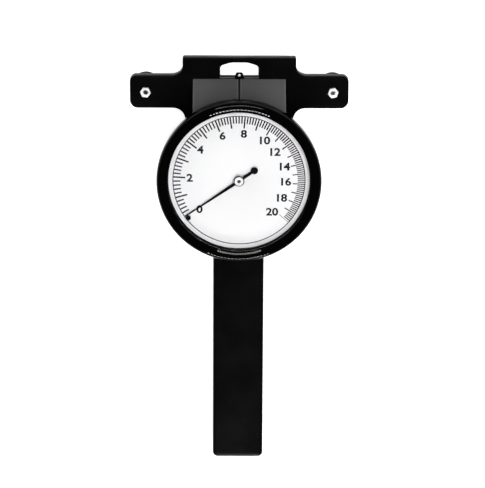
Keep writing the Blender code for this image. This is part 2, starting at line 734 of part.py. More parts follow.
def rear_cover(material):
    """The flat cover that closes the housing and that the gauge rests on."""
    cover = prism("rear_cover", housing_outline(WALL_INSET), 0, COVER_THICKNESS, material)
    soften(cover, COVER_EDGE)
    places = cover_screw_places()
    sink = COVER_SCREW_RECESS + SCREW_HEAD_HEIGHT + SEAT_GAP
    drill(cover, "cover_clearance", places, SCREW_RADIUS + SEAT_GAP,
          0, COVER_THICKNESS + CUT_OVERRUN, FINE_SEGMENTS)
    drill(cover, "cover_sinks", places, SCREW_HEAD_RADIUS + SEAT_GAP, -CUT_OVERRUN, sink, SMALL_SEGMENTS)
    return cover


def cover_screws(material):
    """The back cover's screws, below the flat they are sunk in."""
    screw = slotted_screw("rear_cover_screw", COVER_SCREW_RECESS, HOUSING_BACK + COVER_SCREW_DEPTH, material)
    copies(screw, cover_screw_places())


def handle(material):
    """The plain bar handle, hollow from its upper end and slid over the tang."""
    top = HOUSING_END_Y - SEAT_GAP
    outline = rounded([
        (-HANDLE_HALF_WIDTH, top, 0), (-HANDLE_HALF_WIDTH, HANDLE_END_Y, HANDLE_END_CORNER),
        (HANDLE_HALF_WIDTH, HANDLE_END_Y, HANDLE_END_CORNER), (HANDLE_HALF_WIDTH, top, 0),
    ])
    bar = soften(prism("handle", outline, 0, HANDLE_FRONT, material), HANDLE_EDGE, EDGE_SEGMENTS + 1)
    hollow = prism(
        "handle_hollow",
        box_outline(HANDLE_HALF_WIDTH - HANDLE_WALL, HANDLE_END_Y + HANDLE_WALL, top + CUT_OVERRUN),
        HANDLE_WALL, HANDLE_FRONT - HANDLE_WALL,
    )
    combine(bar, hollow)
    sink = COVER_SCREW_RECESS + SCREW_HEAD_HEIGHT + SEAT_GAP
    places = handle_screw_places()
    drill(bar, "handle_clearance", places, SCREW_RADIUS + SEAT_GAP,
          0, HANDLE_WALL + CUT_OVERRUN, FINE_SEGMENTS)
    drill(bar, "handle_sinks", places, SCREW_HEAD_RADIUS + SEAT_GAP, -CUT_OVERRUN, sink, SMALL_SEGMENTS)
    return bar


def handle_screws(material):
    """The screws through the handle's back into the tang."""
    screw = slotted_screw("handle_screw", COVER_SCREW_RECESS, HANDLE_WALL + HANDLE_SCREW_DEPTH, material)
    copies(screw, handle_screw_places())


def shoulder_cover(material):
    """The sloped cover that fills the corner between the plate and the dial case."""
    edge = AXIS_Y + COVER_FRONT_EDGE
    low = PLATE_FRONT + SEAT_GAP
    side = [
        (edge, low), (edge, low + COVER_LIP), (edge - COVER_RUN, low + COVER_RISE),
        (edge - COVER_DEPTH, low + COVER_RISE), (edge - COVER_DEPTH, low),
    ]
    cover = prism("shoulder_cover", side, -COVER_HALF_WIDTH, COVER_HALF_WIDTH, material)
    facing(cover, ALONG_X)
    soften(cover, COVER_SIDE_EDGE)
    seat = turned("case_seat", rod([(CASE_RADIUS + SEAT_GAP, low - CUT_OVERRUN,
                                     low + COVER_RISE + CUT_OVERRUN)]), segments=RING_SEGMENTS)
    combine(cover, seat)
    slope = Vector((-COVER_RUN, COVER_RISE - COVER_LIP)).normalized()
    away = Vector((-slope.y, slope.x)) * -1
    start = Vector((edge, low + COVER_LIP)) - slope * CUT_OVERRUN
    end = Vector((edge - COVER_RUN, low + COVER_RISE)) + slope * COVER_RUN
    groove_side = [
        start - away * COVER_GROOVE_DEPTH, start + away * CUT_OVERRUN,
        end + away * CUT_OVERRUN, end - away * COVER_GROOVE_DEPTH,
    ]
    half = COVER_GROOVE_WIDTH / 2
    groove = prism("cover_groove", [tuple(point) for point in groove_side], -half, half)
    combine(cover, facing(groove, ALONG_X))
    return drill(cover, "shoulder_threads", shoulder_screw_places(), SCREW_RADIUS + SEAT_GAP,
                 low - CUT_OVERRUN, low + COVER_SCREW_LENGTH + SEAT_GAP, FINE_SEGMENTS)


def shoulder_screws(material):
    """The screws of the shoulder cover."""
    head = PLATE_BACK - SEAT_GAP - SCREW_HEAD_HEIGHT
    tip = PLATE_FRONT + SEAT_GAP + COVER_SCREW_LENGTH
    screw = slotted_screw("shoulder_cover_screw", head, tip, material)
    copies(screw, shoulder_screw_places())


def stop_foot(name, grow, front):
    """The foot under the stop lug, grown all round by the given amount."""
    sill = AXIS_Y + WINDOW_SILL
    outline = box_outline(STOP_FOOT_HALF_WIDTH + grow, sill - STOP_FOOT_SINK - grow, sill + SEAT_GAP)
    return prism(name, outline, STOP_BACK - grow, front)


def stop_lug(material):
    """The low lug on the window's sill, its foot set in a notch, that carries the stop pin."""
    front = PLATE_FRONT + STOP_FRONT_PROUD
    base = AXIS_Y + WINDOW_SILL + STOP_BASE_RISE
    outline = rounded(mirrored([
        (STOP_HALF_WIDTH, base, 0), (STOP_TOP_HALF_WIDTH, STOP_Y + STOP_RISE, STOP_TOP_ROUND),
    ]))
    lug = prism("stop_lug", outline, STOP_BACK, front, material)
    combine(lug, stop_foot("stop_foot", 0, PLATE_FRONT - STOP_FOOT_FRONT), "UNION")
    drill(lug, "stop_pin_hole", [(0, STOP_Y, 0)], STOP_PIN_RADIUS + SEAT_GAP / 2,
          STOP_BACK - CUT_OVERRUN, front + CUT_OVERRUN)
    return lug


def stop_pin(material):
    """The polished pin through the lug."""
    front = PLATE_FRONT + STOP_FRONT_PROUD + STOP_PIN_PROUD
    profile = rod([(STOP_PIN_RADIUS, STOP_BACK, front)])
    return facing(turned("stop_pin", profile, material, SMALL_SEGMENTS), UPRIGHT, (0, STOP_Y, 0))


# Rollers


def roller(name, material):
    """A turned roller with a V groove and a bore for its bearing."""
    middle = (ROLLER_BACK + ROLLER_FRONT) / 2
    inner = BEARING_RADIUS + SEAT_GAP / 2
    profile = [
        (inner, ROLLER_BACK), (ROLLER_RADIUS - ROLLER_RIM / 2, ROLLER_BACK),
        (ROLLER_RADIUS, ROLLER_BACK + ROLLER_RIM / 2), (ROLLER_RADIUS, ROLLER_BACK + ROLLER_RIM),
        (ROLLER_ROOT_RADIUS, middle - ROLLER_ROOT_WIDTH / 2),
        (ROLLER_ROOT_RADIUS, middle + ROLLER_ROOT_WIDTH / 2),
        (ROLLER_RADIUS, ROLLER_FRONT - ROLLER_RIM), (ROLLER_RADIUS, ROLLER_FRONT - ROLLER_RIM / 2),
        (ROLLER_RADIUS - ROLLER_RIM / 2, ROLLER_FRONT), (inner, ROLLER_FRONT),
    ]
    return turned(name, profile, material, ROLLER_SEGMENTS)


def bearing(name, material):
    """A ball bearing with the shield between its rings set back at the open end."""
    middle = (ROLLER_BACK + ROLLER_FRONT) / 2
    low = middle - BEARING_WIDTH / 2
    high = middle + BEARING_WIDTH / 2
    inner = AXLE_RADIUS + SEAT_GAP / 2
    profile = [
        (inner, low), (inner + BEARING_LAND, low), (inner + BEARING_LAND, low + BEARING_RECESS),
        (BEARING_RADIUS - BEARING_LAND, low + BEARING_RECESS), (BEARING_RADIUS - BEARING_LAND, low),
        (BEARING_RADIUS, low), (BEARING_RADIUS, high), (inner, high),
    ]
    return turned(name, profile, material)


def axle_bolt(name, tip, material):
    """An axle with a slotted cheese head at the back."""
    head_front = bearing_front() - BEARING_WIDTH - SEAT_GAP
    steps = [(AXLE_HEAD_RADIUS, AXLE_HEAD_BACK, head_front), (AXLE_RADIUS, head_front, tip)]
    bolt = turned(name, rod(steps), material)
    reach = AXLE_HEAD_RADIUS + CUT_OVERRUN
    slot = prism(
        name + "_slot", box_outline(AXLE_SLOT_WIDTH / 2, -reach, reach),
        AXLE_HEAD_BACK - CUT_OVERRUN, AXLE_HEAD_BACK + AXLE_SLOT_DEPTH,
    )
    return combine(bolt, slot)


def guide_rollers(roller_finish, bearing_finish, bolt_finish, spacer_finish):
    """Both guide rollers with their bearings, bolts, spacers and nuts."""
    sides = ((-1, "left"), (1, "right"))
    places = [(way * GUIDE_AXIS_X, AXIS_Y, 0) for way, _ in sides]
    for way, side in sides:
        pieces = [
            roller(side + "_guide_roller", roller_finish),
            bearing(side + "_roller_bearing", bearing_finish),
        ]
        on_axis(side + "_roller_axis", way * GUIDE_AXIS_X, AXIS_Y, pieces)
    copies(axle_bolt("guide_roller_bolt", AXLE_END, bolt_finish), places)
    profile = ring(AXLE_RADIUS + SEAT_GAP / 2, SPACER_RADIUS,
                   bearing_front() + SEAT_GAP, ARM_BACK - SEAT_GAP)
    copies(turned("guide_roller_spacer", profile, spacer_finish), places)
    nuts = nut("guide_roller_nut", NUT_ACROSS_FLATS, NUT_THICKNESS, AXLE_RADIUS + SEAT_GAP / 2,
               PLATE_FRONT + SEAT_GAP, bolt_finish, NUT_TURN)
    copies(nuts, places)


def bearing_front():
    """The front face of a roller's bearing."""
    return (ROLLER_BACK + ROLLER_FRONT + BEARING_WIDTH) / 2


# Measuring slide


def rack_edge():
    """The toothed edge of the slide, from its lower to its upper end."""
    pitch = math.pi * RACK_MODULE
    travel_teeth = math.ceil(TRAVEL / pitch)
    tip = RACK_PITCH_X + RACK_MODULE * ADDENDUM_SHARE
    root = RACK_PITCH_X - RACK_MODULE * DEDENDUM_SHARE
    quarter = pitch / 4 * (1 - BACKLASH_SHARE)
    tip_half = quarter - RACK_MODULE * ADDENDUM_SHARE * math.tan(PRESSURE_ANGLE)
    root_half = quarter + RACK_MODULE * DEDENDUM_SHARE * math.tan(PRESSURE_ANGLE)
    points = []
    for index in range(-RACK_MARGIN_TEETH, travel_teeth + RACK_MARGIN_TEETH):
        middle = SECTOR_Y + (index + 1 / 2) * pitch
        points += [
            (root, middle - root_half), (tip, middle - tip_half),
            (tip, middle + tip_half), (root, middle + root_half),
        ]
    return points


def measuring_slide(material):
    """The flat slide that carries the measuring roller at one end and a rack on its edge."""
    teeth = rack_edge()
    bar = rounded([
        (-SLIDE_HALF_WIDTH, SLIDE_END_Y, 0), (SLIDE_HALF_WIDTH, SLIDE_END_Y, 0),
        (SLIDE_HALF_WIDTH, MEASURING_Y + SLIDE_TOP, SLIDE_TOP_ROUND),
        (-SLIDE_HALF_WIDTH, MEASURING_Y + SLIDE_TOP, SLIDE_TOP_ROUND),
    ])
    root = teeth[0][0]
    low = teeth[0][1] - RACK_MODULE
    high = teeth[-1][1] + RACK_MODULE
    outline = bar[:2] + [(SLIDE_HALF_WIDTH, low), (root, low)] + teeth
    outline += [(root, high), (SLIDE_HALF_WIDTH, high)] + bar[2:]
    shifted = [(x, y - MEASURING_Y) for x, y in outline]
    slide = prism("measuring_slide", shifted, SLIDE_BACK, SLIDE_FRONT, material)
    return drill(slide, "slide_axle_hole", [(0, 0, 0)], AXLE_RADIUS + SEAT_GAP / 2,
                 SLIDE_BACK - CUT_OVERRUN, SLIDE_FRONT + CUT_OVERRUN)


def spring_seat(material):
    """The button on the end of the slide that presses on the spring."""
    profile = rod([(SEAT_RADIUS, 0, SEAT_THICKNESS),
                   (SEAT_SPIGOT_RADIUS, SEAT_THICKNESS, SEAT_THICKNESS + SEAT_SPIGOT_LENGTH)])
    place = (0, SEAT_Y - MEASURING_Y, SLIDE_LEVEL)
    return facing(turned("spring_seat", profile, material), ALONG_MINUS_Y, place)


def slide_guide(name, y, material):
    """A bridge screwed to the plate that the slide runs under."""
    channel = SLIDE_HALF_WIDTH + SLIDE_SIDE_GAP
    top = PLATE_BACK - SEAT_GAP
    floor = SLIDE_BACK - SEAT_GAP
    section = [
        (-GUIDE_HALF_WIDTH, GUIDE_BACK), (GUIDE_HALF_WIDTH, GUIDE_BACK), (GUIDE_HALF_WIDTH, top),
        (channel, top), (channel, floor), (-channel, floor), (-channel, top), (-GUIDE_HALF_WIDTH, top),
    ]
    guide = prism(name, [(x, -z) for x, z in section], -GUIDE_LENGTH / 2, GUIDE_LENGTH / 2, material)
    facing(guide, ALONG_PLUS_Y, (0, y, 0))
    places = [place for place in guide_screw_places() if place[1] == y]
    return drill(guide, name + "_holes", places, SCREW_RADIUS + SEAT_GAP,
                 GUIDE_BACK - CUT_OVERRUN, top + CUT_OVERRUN, FINE_SEGMENTS)


def guide_screws(material):
    """The screws of the slide guides."""
    head = GUIDE_BACK - SEAT_GAP - SCREW_HEAD_HEIGHT
    screw = slotted_screw("slide_guide_screw", head, PLATE_BACK + GUIDE_SCREW_DEPTH, material)
    copies(screw, guide_screw_places())


def measuring_spring(material):
    """The compression spring between the slide's seat and the adjuster."""
    count = SPRING_TURNS * SPRING_POINTS_PER_TURN
    reach = SPRING_LENGTH - 2 * SPRING_WIRE_RADIUS
    points = []
    for index in range(count + 1):
        angle = 2 * math.pi * index / SPRING_POINTS_PER_TURN
        y = SPRING_TOP_Y - SPRING_WIRE_RADIUS - reach * index / count
        points.append((SPRING_RADIUS * math.cos(angle), y, SLIDE_LEVEL + SPRING_RADIUS * math.sin(angle)))
    least = min(
        (Vector(first) - Vector(second)).length - 2 * SPRING_WIRE_RADIUS
        for index, first in enumerate(points) for second in points[index + SPRING_POINTS_PER_TURN // 2:]
    )
    print(f"measuring_spring least gap to itself {least / MM:.2f} mm")
    return coil("measuring_spring", points, SPRING_WIRE_RADIUS, 0, material)


def spring_adjuster(material):
    """The screw in the tang's end that sets the spring."""
    tail = SEAT_THICKNESS + SEAT_GAP + TANG_END_WALL + ADJUSTER_TAIL
    profile = rod([(SEAT_RADIUS, 0, SEAT_THICKNESS), (ADJUSTER_RADIUS, SEAT_THICKNESS, tail)])
    screw = turned("spring_adjuster", profile, material)
    return facing(screw, ALONG_MINUS_Y, (0, ADJUSTER_Y, SLIDE_LEVEL))


def adjuster_lock_nut(material):
    """The nut that locks the adjuster against the tang."""
    lock = nut("adjuster_lock_nut", LOCK_NUT_ACROSS_FLATS, LOCK_NUT_THICKNESS,
               ADJUSTER_RADIUS + SEAT_GAP / 2, 0, material)
    return facing(baked(lock), ALONG_MINUS_Y, (0, TANG_END_Y - SEAT_GAP, SLIDE_LEVEL))


# Dial case


def dial_case(material):
    """The deep round case that holds the movement and the dial."""
    ledge = CASE_INNER - DIAL_LEDGE
    profile = [
        (0, CASE_BACK), (CASE_RADIUS - CASE_EDGE, CASE_BACK), (CASE_RADIUS, CASE_BACK + CASE_EDGE),
        (CASE_RADIUS, CASE_TOP), (CASE_INNER, CASE_TOP), (CASE_INNER, DIAL_BACK - SEAT_GAP),
        (ledge, DIAL_BACK - SEAT_GAP), (ledge, CASE_FLOOR_TOP), (0, CASE_FLOOR_TOP),
    ]
    case = turned("dial_case", profile, material, RING_SEGMENTS)
    low = CASE_BACK - CUT_OVERRUN
    high = CASE_FLOOR_TOP + CUT_OVERRUN
    drill(case, "case_screw_holes", base_screw_places(), SCREW_RADIUS + SEAT_GAP, low, high, FINE_SEGMENTS)
    return drill(case, "case_bush_hole", [(SECTOR_X, SECTOR_Y, 0)], HOUSING_BUSH_RADIUS + SEAT_GAP, low, high)


def bezel_profile():
    """The section of the rounded bezel, from its foot round the outside to the glass."""
    inner = CASE_RADIUS + SEAT_GAP
    foot = BEZEL_FOOT_ROUND
    points = [(inner, BEZEL_BACK), (BEZEL_RADIUS - foot, BEZEL_BACK)]
    points += [(BEZEL_RADIUS - foot / 3, BEZEL_BACK + foot / 3), (BEZEL_RADIUS, BEZEL_BACK + foot)]
    waist = (BEZEL_BACK + BEZEL_CREST) / 2
    for step in range(BEZEL_STEPS + 1):
        angle = math.pi / 2 * step / BEZEL_STEPS
        points.append((
            BEZEL_CREST_RADIUS + (BEZEL_RADIUS - BEZEL_CREST_RADIUS) * math.cos(angle),
            waist + (BEZEL_CREST - waist) * math.sin(angle),
        ))
    glass = CRYSTAL_FRONT + SEAT_GAP
    points += [(BEZEL_OPENING_RADIUS, glass + BEZEL_LIP), (BEZEL_OPENING_RADIUS, glass), (inner, glass)]
    return points


def crystal(material):
    """The glass, with a small chamfer round its edge."""
    radius = CASE_RADIUS
    front = CRYSTAL_FRONT
    profile = [
        (0, CRYSTAL_BACK), (radius, CRYSTAL_BACK), (radius, front - CRYSTAL_EDGE),
        (radius - CRYSTAL_EDGE, front), (0, front),
    ]
    return turned("crystal", profile, material, RING_SEGMENTS)


def dial_plate(material):
    """The round scale plate on its ledge in the case."""
    profile = ring(DIAL_HOLE_RADIUS, CASE_INNER - SEAT_GAP, DIAL_BACK, DIAL_FACE)
    return turned("dial_plate", profile, material, RING_SEGMENTS)


def zero_stop_pin(material):
    """The round pin on the dial that the pointer comes to rest against."""
    offset = ZERO_PIN_RADIUS + ZERO_PIN_CLEARANCE + 2 * POINTER_TIP_HALF_WIDTH
    angle = ZERO_ANGLE + math.asin(offset / POINTER_LENGTH)
    place = (-POINTER_LENGTH * math.sin(angle), POINTER_LENGTH * math.cos(angle), 0)
    low = DIAL_FACE + SEAT_GAP
    profile = rod([(ZERO_PIN_RADIUS, low, low + ZERO_PIN_HEIGHT)])
    return facing(turned("zero_stop_pin", profile, material), UPRIGHT, place)


# Movement


def frame_outline():
    """The rounded plates of the movement."""
    outline = box_outline(FRAME_HALF_WIDTH, -FRAME_HALF_HEIGHT, FRAME_HALF_HEIGHT, FRAME_CORNER)
    return [(x + FRAME_CENTRE_X, y + FRAME_CENTRE_Y) for x, y in outline]


def pillar_places():
    """The three pillars between the movement's plates."""
    x = FRAME_HALF_WIDTH - PILLAR_INSET
    y = FRAME_HALF_HEIGHT - PILLAR_INSET
    low = [(FRAME_CENTRE_X + way * x, FRAME_CENTRE_Y - y, 0) for way in (-1, 1)]
    return low + [(FRAME_CENTRE_X, FRAME_CENTRE_Y + y, 0)]


def movement_base(material):
    """The lower plate of the movement with its riveted pillars."""
    base = prism("movement_base_plate", frame_outline(), FRAME_BASE_BACK, FRAME_BASE_FRONT, material)
    pillar_top = FRAME_TOP_BACK - SEAT_GAP
    pillar = turned("pillars", rod([(PILLAR_RADIUS, FRAME_BASE_FRONT - FRAME_PLATE / 2, pillar_top)]))
    combine(base, repeated(pillar, pillar_places()), "UNION")
    hole = SCREW_RADIUS + SEAT_GAP
    drill(base, "pillar_threads", pillar_places(), hole,
          pillar_top - FRAME_SCREW_DEPTH - SEAT_GAP, pillar_top + CUT_OVERRUN, FINE_SEGMENTS)
    low = FRAME_BASE_BACK - CUT_OVERRUN
    high = FRAME_BASE_FRONT + CUT_OVERRUN
    drill(base, "base_screw_holes", base_screw_places(), hole, low, high, FINE_SEGMENTS)
    drill(base, "base_pivot_hole", [(0, 0, 0)], PIVOT_RADIUS + SEAT_GAP / 2, low, high)
    return drill(base, "base_arbor_hole", [(SECTOR_X, SECTOR_Y, 0)], HOUSING_BUSH_RADIUS, low, high)


def movement_top(material):
    """The upper plate of the movement, with the two pivot holes."""
    top = prism("movement_top_plate", frame_outline(), FRAME_TOP_BACK, FRAME_TOP_FRONT, material)
    low = FRAME_TOP_BACK - CUT_OVERRUN
    high = FRAME_TOP_FRONT + CUT_OVERRUN
    drill(top, "top_screw_holes", pillar_places(), SCREW_RADIUS + SEAT_GAP, low, high, FINE_SEGMENTS)
    pivots = [(0, 0, 0), (SECTOR_X, SECTOR_Y, 0)]
    return drill(top, "top_pivot_holes", pivots, PIVOT_RADIUS + SEAT_GAP / 2, low, high)


def movement_screws(material):
    """The screws of the upper plate, and those that hold the movement and the case to the body."""
    head = FRAME_TOP_FRONT + SEAT_GAP + SCREW_HEAD_HEIGHT
    tip = FRAME_TOP_BACK - SEAT_GAP - FRAME_SCREW_DEPTH
    copies(slotted_screw("movement_screw", head, tip, material), pillar_places())
    head = FRAME_BASE_FRONT + SEAT_GAP + SCREW_HEAD_HEIGHT
    screw = slotted_screw("movement_base_screw", head, PLATE_FRONT - BASE_SCREW_DEPTH, material)
    copies(screw, base_screw_places())


def housing_bush(material):
    """The long bush that carries the sector arbor through the plate and the case floor."""
    profile = ring(SECTOR_ARBOR_RADIUS + SEAT_GAP / 2, HOUSING_BUSH_RADIUS,
                   PLATE_BACK + SEAT_GAP, CASE_FLOOR_TOP)
    return facing(turned("sector_arbor_bush", profile, material), UPRIGHT, (SECTOR_X, SECTOR_Y, 0))


def sector_arbor(material):
    """The arbor with the pinion that the rack turns."""
    low = SLIDE_FRONT - RACK_PINION_LENGTH
    shoulder = FRAME_TOP_BACK - SEAT_GAP
    steps = [
        (SECTOR_ARBOR_RADIUS, low - SEAT_GAP, SECTOR_BACK - SEAT_GAP),
        (ARBOR_RADIUS, SECTOR_BACK - SEAT_GAP, shoulder),
        (PIVOT_RADIUS, shoulder, FRAME_TOP_FRONT),
    ]
    arbor = turned("sector_arbor", rod(steps), material, FINE_SEGMENTS)
    outline = gear_outline(RACK_PINION_TEETH, RACK_MODULE, math.pi)
    pinion = prism("rack_pinion", outline, low, SLIDE_FRONT)
    return combine(arbor, pinion, "UNION")


def sector_gear(material):
    """The toothed sector on its hub, with a lightening hole."""
    pitch = 2 * math.pi / SECTOR_TEETH
    reach = math.ceil(SECTOR_SWING / pitch) + SECTOR_SPARE_TEETH
    points = []
    for index in range(-reach, SECTOR_SPARE_TEETH + 1):
        points += tooth_points(SECTOR_TEETH, SECTOR_MODULE, MESH_DIRECTION + index * pitch)
    first = math.atan2(points[0][1], points[0][0])
    last = math.atan2(points[-1][1], points[-1][0])
    back = 2 * math.pi - (last - first)
    for step in range(SECTOR_HUB_STEPS + 1):
        angle = last + back * step / SECTOR_HUB_STEPS
        points.append((SECTOR_HUB_RADIUS * math.cos(angle), SECTOR_HUB_RADIUS * math.sin(angle)))
    gear = prism("sector_gear", points, SECTOR_BACK, SECTOR_BACK + SECTOR_THICKNESS, material)
    low = SECTOR_BACK - CUT_OVERRUN
    high = SECTOR_BACK + SECTOR_THICKNESS + CUT_OVERRUN
    drill(gear, "sector_bore", [(0, 0, 0)], ARBOR_RADIUS + SEAT_GAP / 2, low, high)
    middle = (first + last) / 2
    radius = (SECTOR_HUB_RADIUS + SECTOR_RADIUS) / 2
    place = (radius * math.cos(middle), radius * math.sin(middle), 0)
    return drill(gear, "sector_hole", [place], SECTOR_HOLE_RADIUS, low, high)


def pointer_arbor(material):
    """The pointer's arbor with its pinion and the collet of the hairspring."""
    pinion_low = POINTER_PINION_BACK
    pinion_high = pinion_low + POINTER_PINION_LENGTH
    collet_low = HAIRSPRING_LEVEL - COLLET_LENGTH / 2
    steps = [
        (PIVOT_RADIUS, FRAME_BASE_BACK, FRAME_BASE_FRONT + SEAT_GAP),
        (ARBOR_RADIUS, FRAME_BASE_FRONT + SEAT_GAP, collet_low),
        (COLLET_RADIUS, collet_low, collet_low + COLLET_LENGTH),
        (ARBOR_RADIUS, collet_low + COLLET_LENGTH, FRAME_TOP_BACK - SEAT_GAP),
        (PIVOT_RADIUS, FRAME_TOP_BACK - SEAT_GAP, DIAL_BACK),
        (ARBOR_RADIUS, DIAL_BACK, POINTER_BACK - SEAT_GAP),
        (ARBOR_TIP_RADIUS, POINTER_BACK - SEAT_GAP, HUB_FRONT),
    ]
    arbor = turned("pointer_arbor", rod(steps), material, FINE_SEGMENTS)
    gap_angle = MESH_DIRECTION + math.pi + math.pi / POINTER_PINION_TEETH
    outline = gear_outline(POINTER_PINION_TEETH, SECTOR_MODULE, gap_angle)
    return combine(arbor, prism("pointer_pinion", outline, pinion_low, pinion_high), "UNION")


def arc(centre_y, radius, first, last, steps):
    """Points of an arc about a centre on the Y axis."""
    angles = [first + (last - first) * step / steps for step in range(steps + 1)]
    return [(radius * math.cos(angle), centre_y + radius * math.sin(angle)) for angle in angles]


def pointer(material):
    """The tapered needle with its eye, tail and round counterweight, pointing along +Y."""
    up = math.pi / 2
    steps = POINTER_ARC_STEPS
    tail_at_weight = math.asin(POINTER_TAIL_HALF_WIDTH / POINTER_WEIGHT_RADIUS)
    tail_at_eye = math.asin(POINTER_TAIL_HALF_WIDTH / POINTER_EYE_RADIUS)
    needle_at_eye = math.asin(POINTER_ROOT_HALF_WIDTH / POINTER_EYE_RADIUS)
    right = arc(-POINTER_TAIL, POINTER_WEIGHT_RADIUS, up / steps - up, up - tail_at_weight, steps)
    right += arc(0, POINTER_EYE_RADIUS, tail_at_eye - up, up - needle_at_eye, steps)
    right.append((POINTER_TIP_HALF_WIDTH, POINTER_LENGTH))
    outline = right + [(-x, y) for x, y in reversed(right)]
    needle = prism("pointer", outline, POINTER_BACK, POINTER_FRONT, material)
    return drill(needle, "pointer_bore", [(0, 0, 0)], ARBOR_TIP_RADIUS + SEAT_GAP / 2,
                 POINTER_BACK - CUT_OVERRUN, POINTER_FRONT + CUT_OVERRUN)


def hairspring(material):
    """The flat spiral from the collet to its stud."""
    inner = COLLET_RADIUS + SEAT_GAP + HAIRSPRING_WIRE_RADIUS
    points = []
    for index in range(HAIRSPRING_TURNS * HAIRSPRING_POINTS_PER_TURN + 1):
        turns = index / HAIRSPRING_POINTS_PER_TURN
        radius = inner + HAIRSPRING_PITCH * turns
        angle = 2 * math.pi * turns
        points.append((radius * math.cos(angle), radius * math.sin(angle), HAIRSPRING_LEVEL))
    print(f"hairspring least gap to itself {(HAIRSPRING_PITCH - 2 * HAIRSPRING_WIRE_RADIUS) / MM:.2f} mm")
    return coil("hairspring", points, HAIRSPRING_WIRE_RADIUS, 0, material)


def hairspring_stud(material):
    """The stud under the top plate that holds the hairspring's outer end."""
    reach = COLLET_RADIUS + 2 * SEAT_GAP + 2 * HAIRSPRING_WIRE_RADIUS + STUD_RADIUS
    reach += HAIRSPRING_PITCH * HAIRSPRING_TURNS
    profile = rod([(STUD_RADIUS, HAIRSPRING_LEVEL - STUD_RADIUS, FRAME_TOP_BACK - SEAT_GAP)])
    stud = turned("hairspring_stud", profile, material, FINE_SEGMENTS)
    return facing(stud, UPRIGHT, (reach, 0, 0))


def build():
    """Every piece of the gauge."""
    for thing in list(bpy.data.objects):
        bpy.data.objects.remove(thing)
    black_cast = finish("black cast", (0.012, 0.012, 0.013), 0.42, 0.0)
    black_moulded = finish("black moulded", (0.014, 0.014, 0.015), 0.5, 0.0)
    black_gloss = finish("black gloss", (0.006, 0.006, 0.007), 0.12, 0.0)
    grey_satin = finish("grey satin", (0.05, 0.05, 0.052), 0.4, 0.3)
    steel = finish("steel", (0.62, 0.62, 0.64), 0.25, 1.0)
    dark_steel = finish("dark steel", (0.1, 0.1, 0.11), 0.35, 1.0)
    aluminium = finish("aluminium", (0.6, 0.6, 0.62), 0.35, 1.0)
    brass = finish("brass", (0.62, 0.44, 0.17), 0.3, 1.0)
    rubber = finish("rubber", (0.02, 0.02, 0.02), 0.7, 0.0)
    glass = finish("glass", (1.0, 1.0, 1.0), 0.02, 0.0, 1.0)
    white_dial = finish("white dial", (0.85, 0.85, 0.86), 0.5, 0.0)
    black_paint = finish("black paint", (0.01, 0.01, 0.01), 0.4, 0.0)

    body_housing(black_cast)
    rear_cover(black_cast)
    cover_screws(dark_steel)
    handle(black_moulded)
    handle_screws(dark_steel)
    shoulder_cover(grey_satin)
    shoulder_screws(dark_steel)
    stop_lug(black_paint)
    stop_pin(steel)
    guide_rollers(dark_steel, steel, steel, aluminium)

    axle = axle_bolt("measuring_axle", SLIDE_FRONT, steel)
    on_axis("slide_axis", 0, MEASURING_Y, [measuring_slide(steel), spring_seat(brass), axle])
    roller_pieces = [roller("measuring_roller", dark_steel), bearing("measuring_bearing", steel)]
    on_axis("measuring_roller_axis", 0, MEASURING_Y, roller_pieces)
    slide_guide("upper_slide_guide", UPPER_GUIDE_Y, brass)
    slide_guide("lower_slide_guide", LOWER_GUIDE_Y, brass)
    guide_screws(dark_steel)
    measuring_spring(steel)
    spring_adjuster(brass)
    adjuster_lock_nut(steel)

    dial_case(black_cast)
    turned("bezel", bezel_profile(), black_gloss, RING_SEGMENTS)
    gasket = ring(CASE_RADIUS - GASKET_WIDTH, CASE_RADIUS, GASKET_BACK, GASKET_BACK + GASKET_THICKNESS)
    turned("crystal_gasket", gasket, rubber, RING_SEGMENTS)
    crystal(glass)
    dial_plate(white_dial)
    zero_stop_pin(black_paint)

    movement_base(brass)
    movement_top(brass)
    movement_screws(steel)
    housing_bush(brass)
    on_axis("sector_axis", SECTOR_X, SECTOR_Y, [sector_arbor(steel), sector_gear(brass)])
    hub = turned("pointer_hub", ring(ARBOR_TIP_RADIUS + SEAT_GAP / 2, HUB_RADIUS, HUB_BACK, HUB_FRONT),
                 aluminium, ROLLER_SEGMENTS)
    needle_axis = on_axis("pointer_axis", 0, 0, [pointer(black_paint), hub])
    needle_axis.rotation_euler = (0, 0, ZERO_ANGLE)
    on_axis("pointer_arbor_axis", 0, 0, [pointer_arbor(dark_steel)])
    hairspring(steel)
    hairspring_stud(brass)


build()
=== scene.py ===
# %% [markdown]
# # A hand-held dial tension gauge
#
# A cable, wire or thread runs between three rollers at the head of this gauge. The two outer
# rollers stay in place, the middle one gives way against a spring, and a gear train turns
# that short travel into most of a turn of the pointer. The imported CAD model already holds
# every working piece at its true size. Here the pieces that show are modelled again with
# smooth turned surfaces and rounded edges, and every surface gets its own finish.

# %% Load the frame
import math

import bmesh
import bpy
from mathutils import Matrix, Vector


